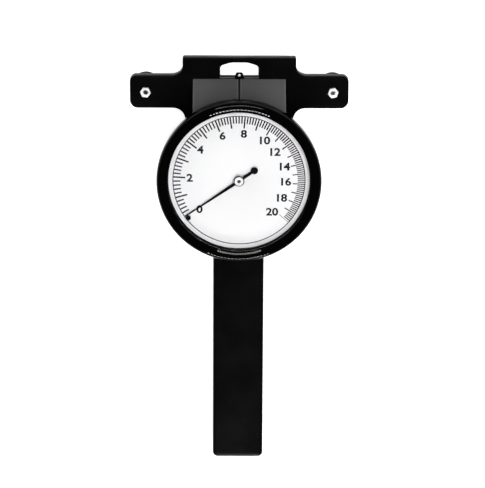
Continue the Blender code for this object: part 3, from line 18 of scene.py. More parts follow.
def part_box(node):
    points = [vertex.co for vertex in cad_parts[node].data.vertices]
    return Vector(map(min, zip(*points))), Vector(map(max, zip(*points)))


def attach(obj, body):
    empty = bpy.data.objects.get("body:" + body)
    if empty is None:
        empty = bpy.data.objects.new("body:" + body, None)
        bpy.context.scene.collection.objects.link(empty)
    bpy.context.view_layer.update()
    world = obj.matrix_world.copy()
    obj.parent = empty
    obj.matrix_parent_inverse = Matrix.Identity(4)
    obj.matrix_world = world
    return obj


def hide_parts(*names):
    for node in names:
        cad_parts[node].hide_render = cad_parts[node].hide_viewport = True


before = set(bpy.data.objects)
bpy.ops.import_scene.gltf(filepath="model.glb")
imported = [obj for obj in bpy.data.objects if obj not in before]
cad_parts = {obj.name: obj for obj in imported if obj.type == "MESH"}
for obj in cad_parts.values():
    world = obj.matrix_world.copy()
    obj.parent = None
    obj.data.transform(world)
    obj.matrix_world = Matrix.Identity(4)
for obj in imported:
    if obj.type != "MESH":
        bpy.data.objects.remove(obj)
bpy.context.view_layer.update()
MM = 0.001
DEGREE = math.pi / 180

# %% [markdown]
# ## The camera
#
# The gauge lies on its back and the camera looks down on its dial from far away, leaning
# about 16 degrees towards the roller arms. A Track To constraint could aim it, but the few
# lines below turn the look direction into a rotation by themselves, and add the slight roll
# that the gauge shows against the edge of the picture.

# %% Camera
CAMERA_PLACE = Vector((-6.6, 392.4, 1486.6)) * MM
CAMERA_AIM = Vector((2.06, -36.1, 38.0)) * MM
CAMERA_ROLL = 0.3 * DEGREE
PHOTO_WIDTH = 485
FOCAL_PIXELS = 2791.0
SENSOR_WIDTH = 36.0


def in_scene(name, data):
    """A new object in the scene."""
    thing = bpy.data.objects.new(name, data)
    bpy.context.scene.collection.objects.link(thing)
    return thing


def aimed_camera():
    """A camera that looks from its place to its aim, with +Y upwards in the picture."""
    data = bpy.data.cameras.new("camera")
    data.sensor_fit = "HORIZONTAL"
    data.sensor_width = SENSOR_WIDTH
    data.lens = SENSOR_WIDTH * FOCAL_PIXELS / PHOTO_WIDTH
    data.clip_start = 10 * MM
    data.clip_end = 10.0
    camera = in_scene("camera", data)
    back = (CAMERA_PLACE - CAMERA_AIM).normalized()
    side = Vector((0, 1, 0)).cross(back).normalized()
    upward = back.cross(side)
    turned = Matrix((side, upward, back)).transposed().to_4x4()
    turned = turned @ Matrix.Rotation(CAMERA_ROLL, 4, "Z")
    camera.matrix_world = Matrix.Translation(CAMERA_PLACE) @ turned
    bpy.context.scene.camera = camera
    return camera


print("camera lens", round(aimed_camera().data.lens, 1), "mm")

# %% [markdown]
# ## Floor and world
#
# The gauge is nearly black and stands before plain white. A white floor lit only by the
# lamps would need so much light that the black paint turned grey. So the floor is pale, and
# a Light Path node adds white to what the camera, a polished face or glass sees of it,
# while the shadow stays. The world is made the same way: white where it is looked at, dim
# where it lights the gauge. The floor lies a hair below the gauge, so the two never share a
# plane, and it is clear from below, so the back can be looked at too.
#
# Every material below is built from nodes. Written out line by line that would be long, so
# one helper adds a node and gives its inputs plain values or links.

# %% Floor and world
FLOOR_REACH = 6.0
FLOOR_DROP = 0.1 * MM
FLOOR_COLOUR = (0.8, 0.8, 0.8)
FLOOR_GLOW = 0.85
WORLD_HIGH = 0.03
WORLD_LOW = 0.2
BACKDROP_WHITE = 1.0
RAYS_THAT_SEE = ("Is Camera Ray", "Is Glossy Ray", "Is Transmission Ray")


def set_inputs(tree, node, values):
    """Give each input a plain value, a colour of three numbers or a link from a socket."""
    for label, value in values.items():
        socket = node.inputs[label]
        if isinstance(value, bpy.types.NodeSocket):
            tree.links.new(value, socket)
        else:
            socket.default_value = (*value, 1.0) if socket.type == "RGBA" else value


def added(tree, kind, values=None, **settings):
    """The outputs of a new shader node, after its settings and its inputs are given."""
    node = tree.nodes.new("ShaderNode" + kind)
    for label, value in settings.items():
        setattr(node, label, value)
    set_inputs(tree, node, values or {})
    return node.outputs


def math_node(tree, operation, first, second=0.0):
    """The result of a Math node."""
    return added(tree, "Math", {0: first, 1: second}, operation=operation)[0]


def mapped(tree, value, low, high, to_low, to_high):
    """A value that fades smoothly from one level to another between two limits."""
    levels = {"From Min": low, "From Max": high, "To Min": to_low, "To Max": to_high}
    return added(tree, "MapRange", {"Value": value, **levels}, interpolation_type="SMOOTHSTEP")[0]


def ray_mask(tree, first, *others):
    """A mask that is 1 for the named kinds of ray."""
    path = added(tree, "LightPath")
    mask = path[first]
    for label in others:
        mask = math_node(tree, "MAXIMUM", mask, path[label])
    return mask


def new_finish(name, values):
    """A material with its node tree and its shader, whose inputs are given by name."""
    material = bpy.data.materials.new(name)
    material.use_nodes = True
    tree = material.node_tree
    shader = tree.nodes["Principled BSDF"]
    set_inputs(tree, shader, values)
    return material, tree, shader


def clear_where(tree, shader, mask):
    """Put a clear shader in place of the material's own where a mask is 1."""
    clear = added(tree, "BsdfTransparent")[0]
    choice = added(tree, "MixShader", {0: mask, 1: shader.outputs[0], 2: clear})
    set_inputs(tree, tree.nodes["Material Output"], {"Surface": choice[0]})


def floor_finish():
    """Pale matt card that glows a little for the rays that look at it, clear from below."""
    material, tree, shader = new_finish("floor card", {
        "Base Color": FLOOR_COLOUR, "Roughness": 1.0, "Specular IOR Level": 0.0,
        "Emission Color": (1, 1, 1),
    })
    glow = math_node(tree, "MULTIPLY", ray_mask(tree, *RAYS_THAT_SEE), FLOOR_GLOW)
    set_inputs(tree, shader, {"Emission Strength": glow})
    clear_where(tree, shader, added(tree, "NewGeometry")["Backfacing"])
    return material


def white_world():
    """Dim light from above and brighter light from the horizon, white where it is looked at."""
    world = bpy.data.worlds.new("studio")
    world.use_nodes = True
    tree = world.node_tree
    place = added(tree, "SeparateXYZ", {0: added(tree, "TexCoord")["Generated"]})
    fade = mapped(tree, place["Z"], 0.0, 1.0, WORLD_LOW, WORLD_HIGH)
    strength = added(tree, "Mix", {0: ray_mask(tree, *RAYS_THAT_SEE), 2: fade, 3: BACKDROP_WHITE})[0]
    set_inputs(tree, tree.nodes["Background"], {"Strength": strength})
    bpy.context.scene.world = world


def floor_piece():
    """One large square under the gauge."""
    bm = bmesh.new()
    bmesh.ops.create_grid(bm, x_segments=1, y_segments=1, size=FLOOR_REACH,
                          matrix=Matrix.Translation((0, 0, -FLOOR_DROP)))
    mesh = bpy.data.meshes.new("floor")
    bm.to_mesh(mesh)
    bm.free()
    mesh.materials.append(floor_finish())
    floor = in_scene("floor", mesh)
    return floor


floor = floor_piece()
white_world()
print("floor", round(floor.dimensions.x, 1), "m wide")

# %% [markdown]
# ## Lamps
#
# One large lamp above lights the dial and a low one behind the head lights the sloped cover.
# Reflections and glass leave both out, because they would lie as grey patches on the black
# faces. The bezel in the photo carries arcs of small bright dots, the reflections of many
# small lights. So a row of narrow tubes stands at the foot and another at the head, and only
# reflections show them.

# %% Lamps
LAMP_DISTANCE = 1.5
LAMP_TARGET = Vector((0, -40, 20)) * MM
SOFT_LAMPS = (
    # name, direction from the gauge, width, height, watts
    ("top lamp", (0.2, 0.0, 1.0), 1.5, 1.2, 29.5),
    ("head lamp", (0.1, 1.0, 0.42), 1.6, 0.5, 6.0),
)
TUBE_ROWS = (
    # name, direction from the gauge, watts of each tube
    ("foot tube", (0.0, -0.848, 0.55), 3.0),
    ("head tube", (0.0, 0.592, 0.806), 1.4),
)
TUBE_COUNT = 18
TUBE_SPACING = 0.043
TUBE_WIDTH = 0.01
TUBE_HEIGHT = 0.2


def rectangle_lamp(name, direction, width, height, watts):
    """A rectangular lamp that faces the gauge."""
    data = bpy.data.lights.new(name, "AREA")
    data.shape = "RECTANGLE"
    data.size = width
    data.size_y = height
    data.energy = watts
    lamp = in_scene(name, data)
    away = Vector(direction).normalized()
    lamp.location = LAMP_TARGET + away * LAMP_DISTANCE
    lamp.rotation_euler = away.to_track_quat("Z", "Y").to_euler()
    return lamp


for settings in SOFT_LAMPS:
    lamp = rectangle_lamp(*settings)
    lamp.visible_glossy = False
    lamp.visible_transmission = False
for name, direction, watts in TUBE_ROWS:
    for index in range(TUBE_COUNT):
        across = (index - (TUBE_COUNT - 1) / 2) * TUBE_SPACING / LAMP_DISTANCE
        place = Vector(direction).normalized() + Vector((across, 0, 0))
        tube = rectangle_lamp(f"{name} {index + 1}", place, TUBE_WIDTH, TUBE_HEIGHT, watts)
        tube.visible_diffuse = False
bpy.context.scene.view_settings.view_transform = "Standard"
print(len(SOFT_LAMPS), "soft lamps and", len(TUBE_ROWS), "rows of", TUBE_COUNT, "tubes")

# %% [markdown]
# ## Effects that several finishes share
#
# Paint, moulded plastic and machined metal differ in colour, but their small unevenness is
# alike: a fine grain that a grazing light shows, and handling that leaves some areas
# shinier than others. Such an effect could be copied into each material. A node group is
# built once instead, with named inputs, so that each finish sets its own scale and amount.
# The groups put out only numbers that change over the surface. The shader stays in the
# material, where its plain values are easy to read.

# %% Shared node groups
SPECK_SCALE = 2600.0
PATCH_SCALE = 30.0
METAL_GRAIN_SCALE = 700.0
LEAST_ROUGHNESS = 0.02


def new_group(name, numbers, *outputs):
    """A shader node group, the sockets that come in and the node that takes what goes out."""
    group = bpy.data.node_groups.new(name, "ShaderNodeTree")
    socket = group.interface.new_socket
    socket("Vector", in_out="INPUT", socket_type="NodeSocketVector")
    for label, value in numbers.items():
        socket(label, in_out="INPUT", socket_type="NodeSocketFloat").default_value = value
    for label in outputs:
        socket(label, in_out="OUTPUT", socket_type="NodeSocketFloat")
    return group, group.nodes.new("NodeGroupInput").outputs, group.nodes.new("NodeGroupOutput")


def noise_node(tree, vector, scale, detail, roughness=0.5):
    """A Noise Texture read at a vector socket."""
    values = {"Vector": vector, "Scale": scale, "Detail": detail, "Roughness": roughness}
    return added(tree, "TexNoise", values)["Fac"]


def axis_distance(tree, vector):
    """The distance of a place from the Z axis of its vector."""
    flat = added(tree, "VectorMath", {0: vector, 1: (1, 1, 0)}, operation="MULTIPLY")[0]
    return added(tree, "VectorMath", {0: flat}, operation="LENGTH")["Value"]


def grain_group():
    """Fine grain with a slow swell under it, as sprayed paint and moulded plastic have."""
    numbers = {"Grain Scale": 1500.0, "Swell Scale": 160.0, "Swell": 0.4}
    group, given, out = new_group("Fine grain", numbers, "Height")
    fine = noise_node(group, given["Vector"], given["Grain Scale"], 4.0, 0.6)
    slow = noise_node(group, given["Vector"], given["Swell Scale"], 2.0)
    swell = math_node(group, "MULTIPLY", slow, given["Swell"])
    set_inputs(group, out, {"Height": math_node(group, "ADD", fine, swell)})
    return group


def handling_group():
    """Roughness that handling has changed, and a mask of the faint dust that lies on it."""
    numbers = {"Roughness": 0.4, "Change": 0.1, "Mark Scale": 45.0}
    group, given, out = new_group("Handling", numbers, "Roughness", "Dust")
    marks = noise_node(group, given["Vector"], given["Mark Scale"], 5.0, 0.65)
    change = math_node(group, "MULTIPLY", mapped(group, marks, 0.35, 0.7, -1.0, 1.0), given["Change"])
    rough = math_node(group, "ADD", given["Roughness"], change)
    specks = mapped(group, noise_node(group, given["Vector"], SPECK_SCALE, 2.0), 0.68, 0.76, 0.0, 1.0)
    patches = mapped(group, noise_node(group, given["Vector"], PATCH_SCALE, 3.0), 0.4, 0.65, 0.15, 1.0)
    set_inputs(group, out, {
        "Roughness": math_node(group, "MAXIMUM", rough, LEAST_ROUGHNESS),
        "Dust": math_node(group, "MULTIPLY", specks, patches),
    })
    return group


def tool_mark_group():
    """Rings that a lathe tool leaves round the Z axis of the vector."""
    group, given, out = new_group("Tool marks", {"Ring Scale": 900.0, "Unevenness": 0.5}, "Height")
    height = added(group, "SeparateXYZ", {0: given["Vector"]})["Z"]
    reach = math_node(group, "ADD", axis_distance(group, given["Vector"]), height)
    place = added(group, "CombineXYZ", {"X": reach})[0]
    rings = noise_node(group, place, given["Ring Scale"], 3.0, 0.7)
    grain = noise_node(group, given["Vector"], METAL_GRAIN_SCALE, 3.0)
    uneven = math_node(group, "MULTIPLY", grain, given["Unevenness"])
    set_inputs(group, out, {"Height": math_node(group, "ADD", rings, uneven)})
    return group


GRAIN = grain_group()
HANDLING = handling_group()
TOOL_MARKS = tool_mark_group()
print("node groups:", ", ".join(group.name for group in (GRAIN, HANDLING, TOOL_MARKS)))

# %% [markdown]
# ## Finishes
#
# Each finish below starts from a Principled BSDF. Object coordinates place the patterns, so
# they stay on the piece when it moves. Turned metal needs its rings round its own axis, so a
# Mapping node first brings that axis to the middle.

# %% Building a finish
GRAIN_BUMP = 0.35
TOOL_BUMP = 0.4
METAL_CHANGE = 0.06
COAT_MARK_SCALE = 45.0
METAL_MARK_SCALE = 160.0
METAL_DARKER = 0.8


def bump_into(tree, shader, height, strength, depth):
    """A Bump node, of a depth in millimetres, between a height and the shader's normal."""
    bump = added(tree, "Bump", {"Height": height, "Strength": strength, "Distance": depth * MM})
    set_inputs(tree, shader, {"Normal": bump[0]})


def tinted(tree, mask, plain, other):
    """A colour that goes from one to another by a mask."""
    return added(tree, "Mix", {0: mask, 6: plain, 7: other}, data_type="RGBA")[2]


def faded(tree, distance, band, start, end):
    """A mask that fades from start to end over a band of distances in millimetres."""
    return mapped(tree, distance, band[0] * MM, band[1] * MM, start, end)


def handled(name, colour, other, roughness, change, mark_scale, values, tint):
    """A finish with uneven gloss and a second colour where dust lies, or with a tint of its own."""
    material, tree, shader = new_finish(name, {"Base Color": colour, **values})
    vector = added(tree, "TexCoord")["Object"]
    levels = {"Roughness": roughness, "Change": change, "Mark Scale": mark_scale}
    handling = added(tree, "Group", {"Vector": vector, **levels}, node_tree=HANDLING)
    base = tint(tree, vector) if tint else tinted(tree, handling["Dust"], colour, other)
    set_inputs(tree, shader, {"Roughness": handling["Roughness"], "Base Color": base})
    return material, tree, shader, vector


def coated(name, colour, roughness, change, grain, depth, specular=0.5, dust=0.06, tint=None):
    """Paint or plastic: grain in the normal, handling in the gloss, a trace of dust."""
    dusty = tuple(channel + dust for channel in colour)
    material, tree, shader, vector = handled(
        name, colour, dusty, roughness, change, COAT_MARK_SCALE, {"Specular IOR Level": specular}, tint)
    skin = added(tree, "Group", {"Vector": vector, "Grain Scale": grain}, node_tree=GRAIN)
    bump_into(tree, shader, skin["Height"], GRAIN_BUMP, depth)
    return material


def turned_metal(name, colour, roughness, centre, depth=0.004, metallic=1.0, tint=None):
    """Metal from a lathe, with its tool marks round an upright axis."""
    darker = tuple(channel * METAL_DARKER for channel in colour)
    material, tree, shader, vector = handled(
        name, colour, darker, roughness, METAL_CHANGE, METAL_MARK_SCALE, {"Metallic": metallic}, tint)
    x, y = centre
    middle = added(tree, "Mapping", {"Vector": vector, "Location": (-x * MM, -y * MM, 0)})
    marks = added(tree, "Group", {"Vector": middle[0]}, node_tree=TOOL_MARKS)
    bump_into(tree, shader, marks["Height"], TOOL_BUMP, depth)
    return material


# %% [markdown]
# ### The black parts
#
# The head is cast and sprayed satin black, the handle is a moulded bar with a slightly finer
# skin, and the bezel is gloss black. All three are nearly the same colour, so their grain,
# their roughness and their shine have to tell them apart. The sloped cover above the dial is
# a dark grey. That grey is partly its own colour and partly painted sheen, with painted
# highlights along its ends, beside its groove and towards its sides, and painted shade inside the groove.

# %% Black and grey finishes
BLACK = (0.0012, 0.0012, 0.0013)
GLOSS_BLACK = (0.001, 0.001, 0.0011)
RUBBER_BLACK = (0.02, 0.02, 0.02)
# The sloped cover's grey is partly its own colour and partly painted sheen. It is made paler in place of
# the reflection that the lamps leave out.
SLOPE_GREY_AND_SHEEN = (0.066, 0.066, 0.067)
# A paler grey, painted as a highlight on the sloped cover.
PAINTED_HIGHLIGHT_GREY = (0.11, 0.11, 0.112)
# Bands across the cover, in millimetres from its middle: painted shade inside the groove and just past
# its edges, painted highlight beside the groove and along the ends, and painted highlight that grows
# towards the sides up to the share below.
IN_GROOVE = (0.55, 0.6)
BESIDE_GROOVE = (0.6, 1.4)
AT_ENDS = (24.0, 24.6)
OUTWARDS = (4.0, 24.0)
OUTWARD_PAINTED_SHADING = 0.3


def slope_tint(tree, vector):
    """Grey with painted shade, black inside the middle groove, and painted highlights beside it, along
    the ends and towards the sides.
    """
    side = math_node(tree, "ABSOLUTE", added(tree, "SeparateXYZ", {0: vector})["X"])
    beside = faded(tree, side, BESIDE_GROOVE, 1.0, 0.0)
    ends = faded(tree, side, AT_ENDS, 0.0, 1.0)
    spread = faded(tree, side, OUTWARDS, 0.0, OUTWARD_PAINTED_SHADING)
    painted_light_mask = math_node(tree, "MAXIMUM", math_node(tree, "MAXIMUM", beside, ends), spread)
    grey = tinted(tree, painted_light_mask, SLOPE_GREY_AND_SHEEN, PAINTED_HIGHLIGHT_GREY)
    return tinted(tree, faded(tree, side, IN_GROOVE, 1.0, 0.0), grey, BLACK)


cast_black = coated("satin black paint", BLACK, 0.38, 0.05, 1400.0, 0.02, specular=0.03, dust=0.006)
handle_black = coated("moulded black", BLACK, 0.42, 0.06, 2200.0, 0.015, specular=0.03, dust=0.006)
bezel_black = coated("gloss black", GLOSS_BLACK, 0.035, 0.01, 500.0, 0.0001, specular=0.05, dust=0.003)
small_black = coated("black lacquer", BLACK, 0.3, 0.04, 2500.0, 0.004, specular=0.04, dust=0.006)
dark_rubber = coated("seal rubber", RUBBER_BLACK, 0.75, 0.05, 3000.0, 0.01)
slope_grey = coated("satin dark grey", SLOPE_GREY_AND_SHEEN, 0.38, 0.07, 1700.0, 0.012, specular=0.12,
                    tint=slope_tint)
print("black and grey finishes ready")

# %% [markdown]
# ### Dial white, print and glass
#
# The dial is sheet metal with baked white enamel and black print. The glass must let the
# lamps through to the dial. Real glass in a path tracer throws no plain shadow, and light that
# leaves the dial through it would meet the white backdrop. So a Light Path node swaps it for a
# clear shader where a shadow ray or a diffuse ray asks.

# %% Dial finishes
DIAL_WHITE = (0.84, 0.84, 0.85)
PRINT_BLACK = (0.004, 0.004, 0.005)

dial_white = coated("dial enamel", DIAL_WHITE, 0.45, 0.04, 1800.0, 0.004, dust=-0.03)
print_black = coated("dial print", PRINT_BLACK, 0.55, 0.05, 3000.0, 0.003, specular=0.1, dust=0.006)


def clear_glass():
    """Flat clear glass that lets lamps through."""
    material, tree, shader = new_finish("dial glass", {
        "Base Color": (1, 1, 1), "Roughness": 0.0, "IOR": 1.5, "Transmission Weight": 1.0,
    })
    waves = noise_node(tree, added(tree, "TexCoord")["Object"], 25.0, 1.0)
    bump_into(tree, shader, waves, 0.03, 0.02)
    clear_where(tree, shader, ray_mask(tree, "Is Shadow Ray", "Is Diffuse Ray"))
    return material


glass = clear_glass()
print("dial finishes ready")

# %% [markdown]
# ### Metals
#
# The nuts are bright zinc-plated steel, and the rollers blackened steel. The pieces of the
# movement are brass and steel. Rollers, bearings, bolts, spacers, nuts and the pointer's hub
# get a finish whose rings run round their own axis; the small screws borrow one of these.

# %% Metal finishes
BRIGHT_STEEL = (0.68, 0.68, 0.69)
PLAIN_STEEL = (0.55, 0.55, 0.56)
DARK_STEEL = (0.07, 0.07, 0.075)
BRASS = (0.66, 0.45, 0.17)
ALUMINIUM = (0.78, 0.78, 0.79)
PALE_METAL = (0.86, 0.86, 0.86)
HUB_METAL = (0.72, 0.72, 0.73)
# Painted shade on the hub, in millimetres from its axis: black out to the dish round the bore, and black
# again from near the outer rim outwards.
AT_BORE = (0.9, 1.0)
AT_RIM = (2.3, 2.4)

# x and y in millimetres
AXES = {"left": (-50.6, 44.0), "right": (50.6, 44.0), "middle": (0.0, 41.4), "dial": (0.0, 0.0)}


def hub_tint(tree, vector):
    """Pale metal with painted shade: black near the hub's bore, over its dish, and on its outer rim."""
    radius = axis_distance(tree, vector)
    bore = faded(tree, radius, AT_BORE, 1.0, 0.0)
    rim = faded(tree, radius, AT_RIM, 0.0, 1.0)
    return tinted(tree, math_node(tree, "MAXIMUM", bore, rim), HUB_METAL, BLACK)


def at_axes(name, colour, roughness, labels=("left", "right", "middle"), **more):
    """One turned finish for each of several axes."""
    return {label: turned_metal(f"{name} {label}", colour, roughness, AXES[label], **more)
            for label in labels}


bright = at_axes("bright steel", BRIGHT_STEEL, 0.16)
dark = at_axes("blackened steel", DARK_STEEL, 0.3, AXES)
shield = at_axes("bearing steel", PLAIN_STEEL, 0.24)
plain_steel = turned_metal("ground steel", PLAIN_STEEL, 0.28, AXES["dial"])
spacer_metal = at_axes("turned aluminium", ALUMINIUM, 0.3, ("left", "right"))
hub_metal = turned_metal("matt aluminium", HUB_METAL, 0.4, AXES["dial"], 0.002, 0.3, hub_tint)
zinc = at_axes("zinc plating", PALE_METAL, 0.42, depth=0.002, metallic=0.3)
brass = turned_metal("machined brass", BRASS, 0.26, AXES["dial"])
print(len(bpy.data.materials), "finishes so far")

# %% Finishes for the CAD pieces that stay
STAYING = {"crystal": glass, "crystal_gasket": dark_rubber, "pointer_arbor": dark["dial"]}
STAYING |= dict.fromkeys((
    "movement_base_plate", "movement_top_plate", "sector_gear", "sector_arbor_bush", "hairspring_stud",
    "spring_seat", "spring_adjuster", "upper_slide_guide", "lower_slide_guide",
), brass)
STAYING |= dict.fromkeys((
    "movement_screw_1", "movement_screw_2", "movement_screw_3", "movement_base_screw_1",
    "movement_base_screw_2", "adjuster_lock_nut", "sector_arbor", "hairspring", "measuring_spring",
    "measuring_slide",
), plain_steel)
STAYING |= {f"slide_guide_screw_{number}": dark["middle"] for number in range(1, 5)}
for name, finish in STAYING.items():
    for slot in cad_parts[name].material_slots:
        slot.material = finish
print(len(STAYING), "CAD nodes keep their shape and get a finish")

# %% [markdown]
# ## Helpers for shapes
#
# Most pieces start from an outline with rounded corners. It could be drawn as a list of arc
# points, but a vertex bevel on a bare wire does it in one call: each corner gets its own
# radius and becomes an arc that meets both of its edges smoothly. The same wire is then
# filled and drawn out into a plate, or spun into a turned piece. A corner without a radius
# stays sharp. From here on all lengths are in millimetres, and the helpers turn them into
# Blender's metres.

# %% Outline, plate and turned piece
ARC_SEGMENTS = 8
RIM_SEGMENTS = 3
MERGE = 0.002 * MM
FINE_MERGE = MERGE / 4
STEEP_RIM = 60 * DEGREE


def shift(x, y, z=0.0):
    """A matrix that shifts by millimetres."""
    return Matrix.Translation((x * MM, y * MM, z * MM))


def moved(bm, matrix):
    """The bmesh after a matrix has moved all of it."""
    bmesh.ops.transform(bm, matrix=matrix, verts=bm.verts[:])
    return bm


def wire(corners, closed=True, upright=False, segments=ARC_SEGMENTS):
    """A wire through corners of x, y and, for a round one, a radius made by a vertex bevel."""
    bm = bmesh.new()
    points = [(x * MM, 0, y * MM) if upright else (x * MM, y * MM, 0) for x, y, *_ in corners]
    verts = [bm.verts.new(point) for point in points]
    for pair in zip(verts, verts[1:] + verts[:1] if closed else verts[1:]):
        bm.edges.new(pair)
    for vert, (_, _, *radius) in zip(verts, corners):
        if any(radius):
            reach = radius[0] * MM * math.tan(vert.calc_edge_angle() / 2)
            bmesh.ops.bevel(
                bm, geom=[vert], offset=reach, offset_type="OFFSET", segments=segments,
                profile=0.5, affect="VERTICES", material=-1,
            )
    return bm


def both_sides(right):
    """A symmetric outline from its right side, listed from the bottom to the top."""
    return right + [(-x, *rest) for x, *rest in reversed(right)]


def rim_edges(bm, height):
    """The sharp edges that lie wholly at one height."""
    level = [edge for edge in bm.edges
             if all(abs(vert.co.z - height * MM) < MERGE for vert in edge.verts)]
    return [edge for edge in level if edge.is_manifold and edge.calc_face_angle() > STEEP_RIM]


def plate(corners, low, high, back_rim=0.0, front_rim=0.0):
    """A flat outline drawn out along Z, with its back and front rims rounded."""
    bm = wire(corners)
    bmesh.ops.contextual_create(bm, geom=bm.edges[:])
    moved(bm, shift(0, 0, low))
    drawn = bmesh.ops.extrude_face_region(bm, geom=bm.faces[:])
    lifted = [part for part in drawn["geom"] if isinstance(part, bmesh.types.BMVert)]
    bmesh.ops.translate(bm, verts=lifted, vec=(0, 0, (high - low) * MM))
    for height, rim in ((low, back_rim), (high, front_rim)):
        if rim:
            bmesh.ops.bevel(
                bm, geom=rim_edges(bm, height), offset=rim * MM, offset_type="OFFSET",
                segments=RIM_SEGMENTS, profile=0.5, affect="EDGES", material=-1, clamp_overlap=True,
            )
    return bm


def block(half, bottom, top, low, high, radius=0.0, back_rim=0.0):
    """A plate with a rectangular outline about X = 0."""
    return plate(both_sides([(half, bottom, radius), (half, top, radius)]), low, high, back_rim)


def turned(corners, steps, centre=(0, 0), segments=ARC_SEGMENTS):
    """A profile of distance, height and corner radius, spun about an upright axis."""
    bm = wire(corners, closed=corners[0][0] > 0, upright=True, segments=segments)
    bmesh.ops.spin(
        bm, geom=bm.verts[:] + bm.edges[:], cent=(0, 0, 0), axis=(0, 0, 1), angle=2 * math.pi,
        steps=steps, use_merge=True, use_duplicate=False,
    )
    bmesh.ops.remove_doubles(bm, verts=bm.verts[:], dist=MERGE)
    bmesh.ops.dissolve_degenerate(bm, edges=bm.edges[:], dist=MERGE)
    return moved(bm, shift(*centre))


def disc(inner, outer, low, high, radii=(0, 0), steps=32, centre=(0, 0), segments=ARC_SEGMENTS):
    """A turned disc or ring, with the corner radii of its back and its front rim."""
    back, front = radii
    corners = [(inner, low), (outer, low, back), (outer, high, front), (inner, high)]
    return turned(corners, steps, centre, segments)


# %% Finished piece, and cutting one shape from another
SMOOTH_ANGLE = 32 * DEGREE


def as_object(name, bm, finish=None):
    """An object at the origin from a bmesh, with its faces pointing outwards."""
    bmesh.ops.recalc_face_normals(bm, faces=bm.faces[:])
    mesh = bpy.data.meshes.new(name)
    bm.to_mesh(mesh)
    bm.free()
    mesh.shade_smooth()
    mesh.set_sharp_from_angle(angle=SMOOTH_ANGLE)
    if finish:
        mesh.materials.append(finish)
    return in_scene(name, mesh)


def cut(bm, *tools):
    """The bmesh with the tools cut out of it, by exact Booleans that are applied at once."""
    thing = as_object("being cut", bm)
    cutters = [as_object("cutter", tool) for tool in tools]
    for cutter in cutters:
        step = thing.modifiers.new("cut", "BOOLEAN")
        step.solver = "EXACT"
        step.object = cutter
    bpy.context.view_layer.update()
    shaped = thing.evaluated_get(bpy.context.evaluated_depsgraph_get())
    result = bmesh.new()
    result.from_mesh(shaped.to_mesh())
    shaped.to_mesh_clear()
    for used in [thing] + cutters:
        bpy.data.objects.remove(used)
    bmesh.ops.remove_doubles(result, verts=result.verts[:], dist=FINE_MERGE)
    return result


def joined(*parts):
    """One bmesh that holds several shapes."""
    whole = bmesh.new()
    for part in parts:
        mesh = bpy.data.meshes.new("part")
        part.to_mesh(mesh)
        part.free()
        whole.from_mesh(mesh)
        bpy.data.meshes.remove(mesh)
    return whole


def fitted(name, bm, finish, *nodes, body="housing", slot=None):
    """A finished piece that rides on a body and stands for CAD nodes."""
    thing = as_object(name, bm, finish)
    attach(thing, body)
    if nodes:
        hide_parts(*nodes)
    sides = [round(side / MM, 1) for side in thing.dimensions]
    print(f"{name}: {len(thing.data.polygons)} faces, {sides} mm")
    return thing


# %% [markdown]
# ## The cast head
#
# The T-shaped head is one casting: a front plate with a raised block, a pad behind the block
# and a wall round the mechanism. A subdivision cage could model it, but castings like this
# are flat plates with round corners, so each layer is a plate with its own rim. The window
# has a square opening in front and a lower arch behind, which leaves a little ledge between
# the two above the corners of the arch.

# %% Sizes of the head
AXIS_Y = 44.0
ARM_BACK = 13.9
PLATE_BACK = 15.5
PLATE_FRONT = 20.0
PAD_BACK = 13.0
ARM_REACH = 59.0
ARM_HALF = 9.0
NECK_HALF = 29.2
HANDLE_HALF = 13.85
HOUSING_END = -41.0
SHOULDER_Y = -20.0
BLOCK_HALF = 30.6
BLOCK_TOP = AXIS_Y + 19.0
WINDOW_HALF = 10.55
SILL_Y = AXIS_Y + 7.6
WINDOW_TOP = AXIS_Y + 17.2
ARCH_SPRING = AXIS_Y + 13.5
ARCH_CROWN = AXIS_Y + 15.25
ARCH_TOP_HALF = 4.4
STOP_Y = AXIS_Y + 9.4
LUG_BACK = 18.6
LUG_FOOT_HALF = 2.1
WALL = 4.6
WALL_INSET = 0.6
WALL_TOP = 28.1
WALL_BACK = 2.7
TANG_END = -77.2
SLIDE_LEVEL = 13.7


def head_outline():
    """The T with its flares, its neck and its tapered lower end."""
    low = AXIS_Y - ARM_HALF
    high = AXIS_Y + ARM_HALF
    return both_sides([
        (HANDLE_HALF, HOUSING_END), (NECK_HALF, SHOULDER_Y, 9.0), (NECK_HALF, low, 6.5),
        (ARM_REACH, low, 4.3), (ARM_REACH, high, 3.4), (BLOCK_HALF + 4.4, high, 6.0),
        (BLOCK_HALF, high + 2.2, 4.0), (BLOCK_HALF, BLOCK_TOP, 1.1),
    ])


def wall_outline(inset):
    """The outline of the housing's wall, drawn in by the inset."""
    ends = max(0, inset - WALL_INSET)
    return both_sides([
        (HANDLE_HALF - inset, HOUSING_END + ends), (NECK_HALF - inset, SHOULDER_Y, 9.0),
        (NECK_HALF - inset, WALL_TOP - ends, 3.0),
    ])


def arch_corners():
    """The opening in the pad: straight sides, round corners and a low arch."""
    side = WINDOW_HALF - 0.25
    return both_sides([(side, SILL_Y + 0.25), (side, ARCH_SPRING, 2.0), (ARCH_TOP_HALF, ARCH_CROWN, 8.0)])


# %% The head in layers
BOLT_HOLE = 1.55
CLEAR = 1.0
OVERLAP = 0.05
RECESS_HALF = NECK_HALF - 5.2
RECESS_TOP = AXIS_Y + 8.1
SLOT_HALF = 6.4
SLOT_BACK = 12.0
TANG_BACK = 2.7
TANG_FRONT = 19.3
BORE_END = TANG_END + 4.0
BORE_RADIUS = 4.55
BORE_LENGTH = 48.0


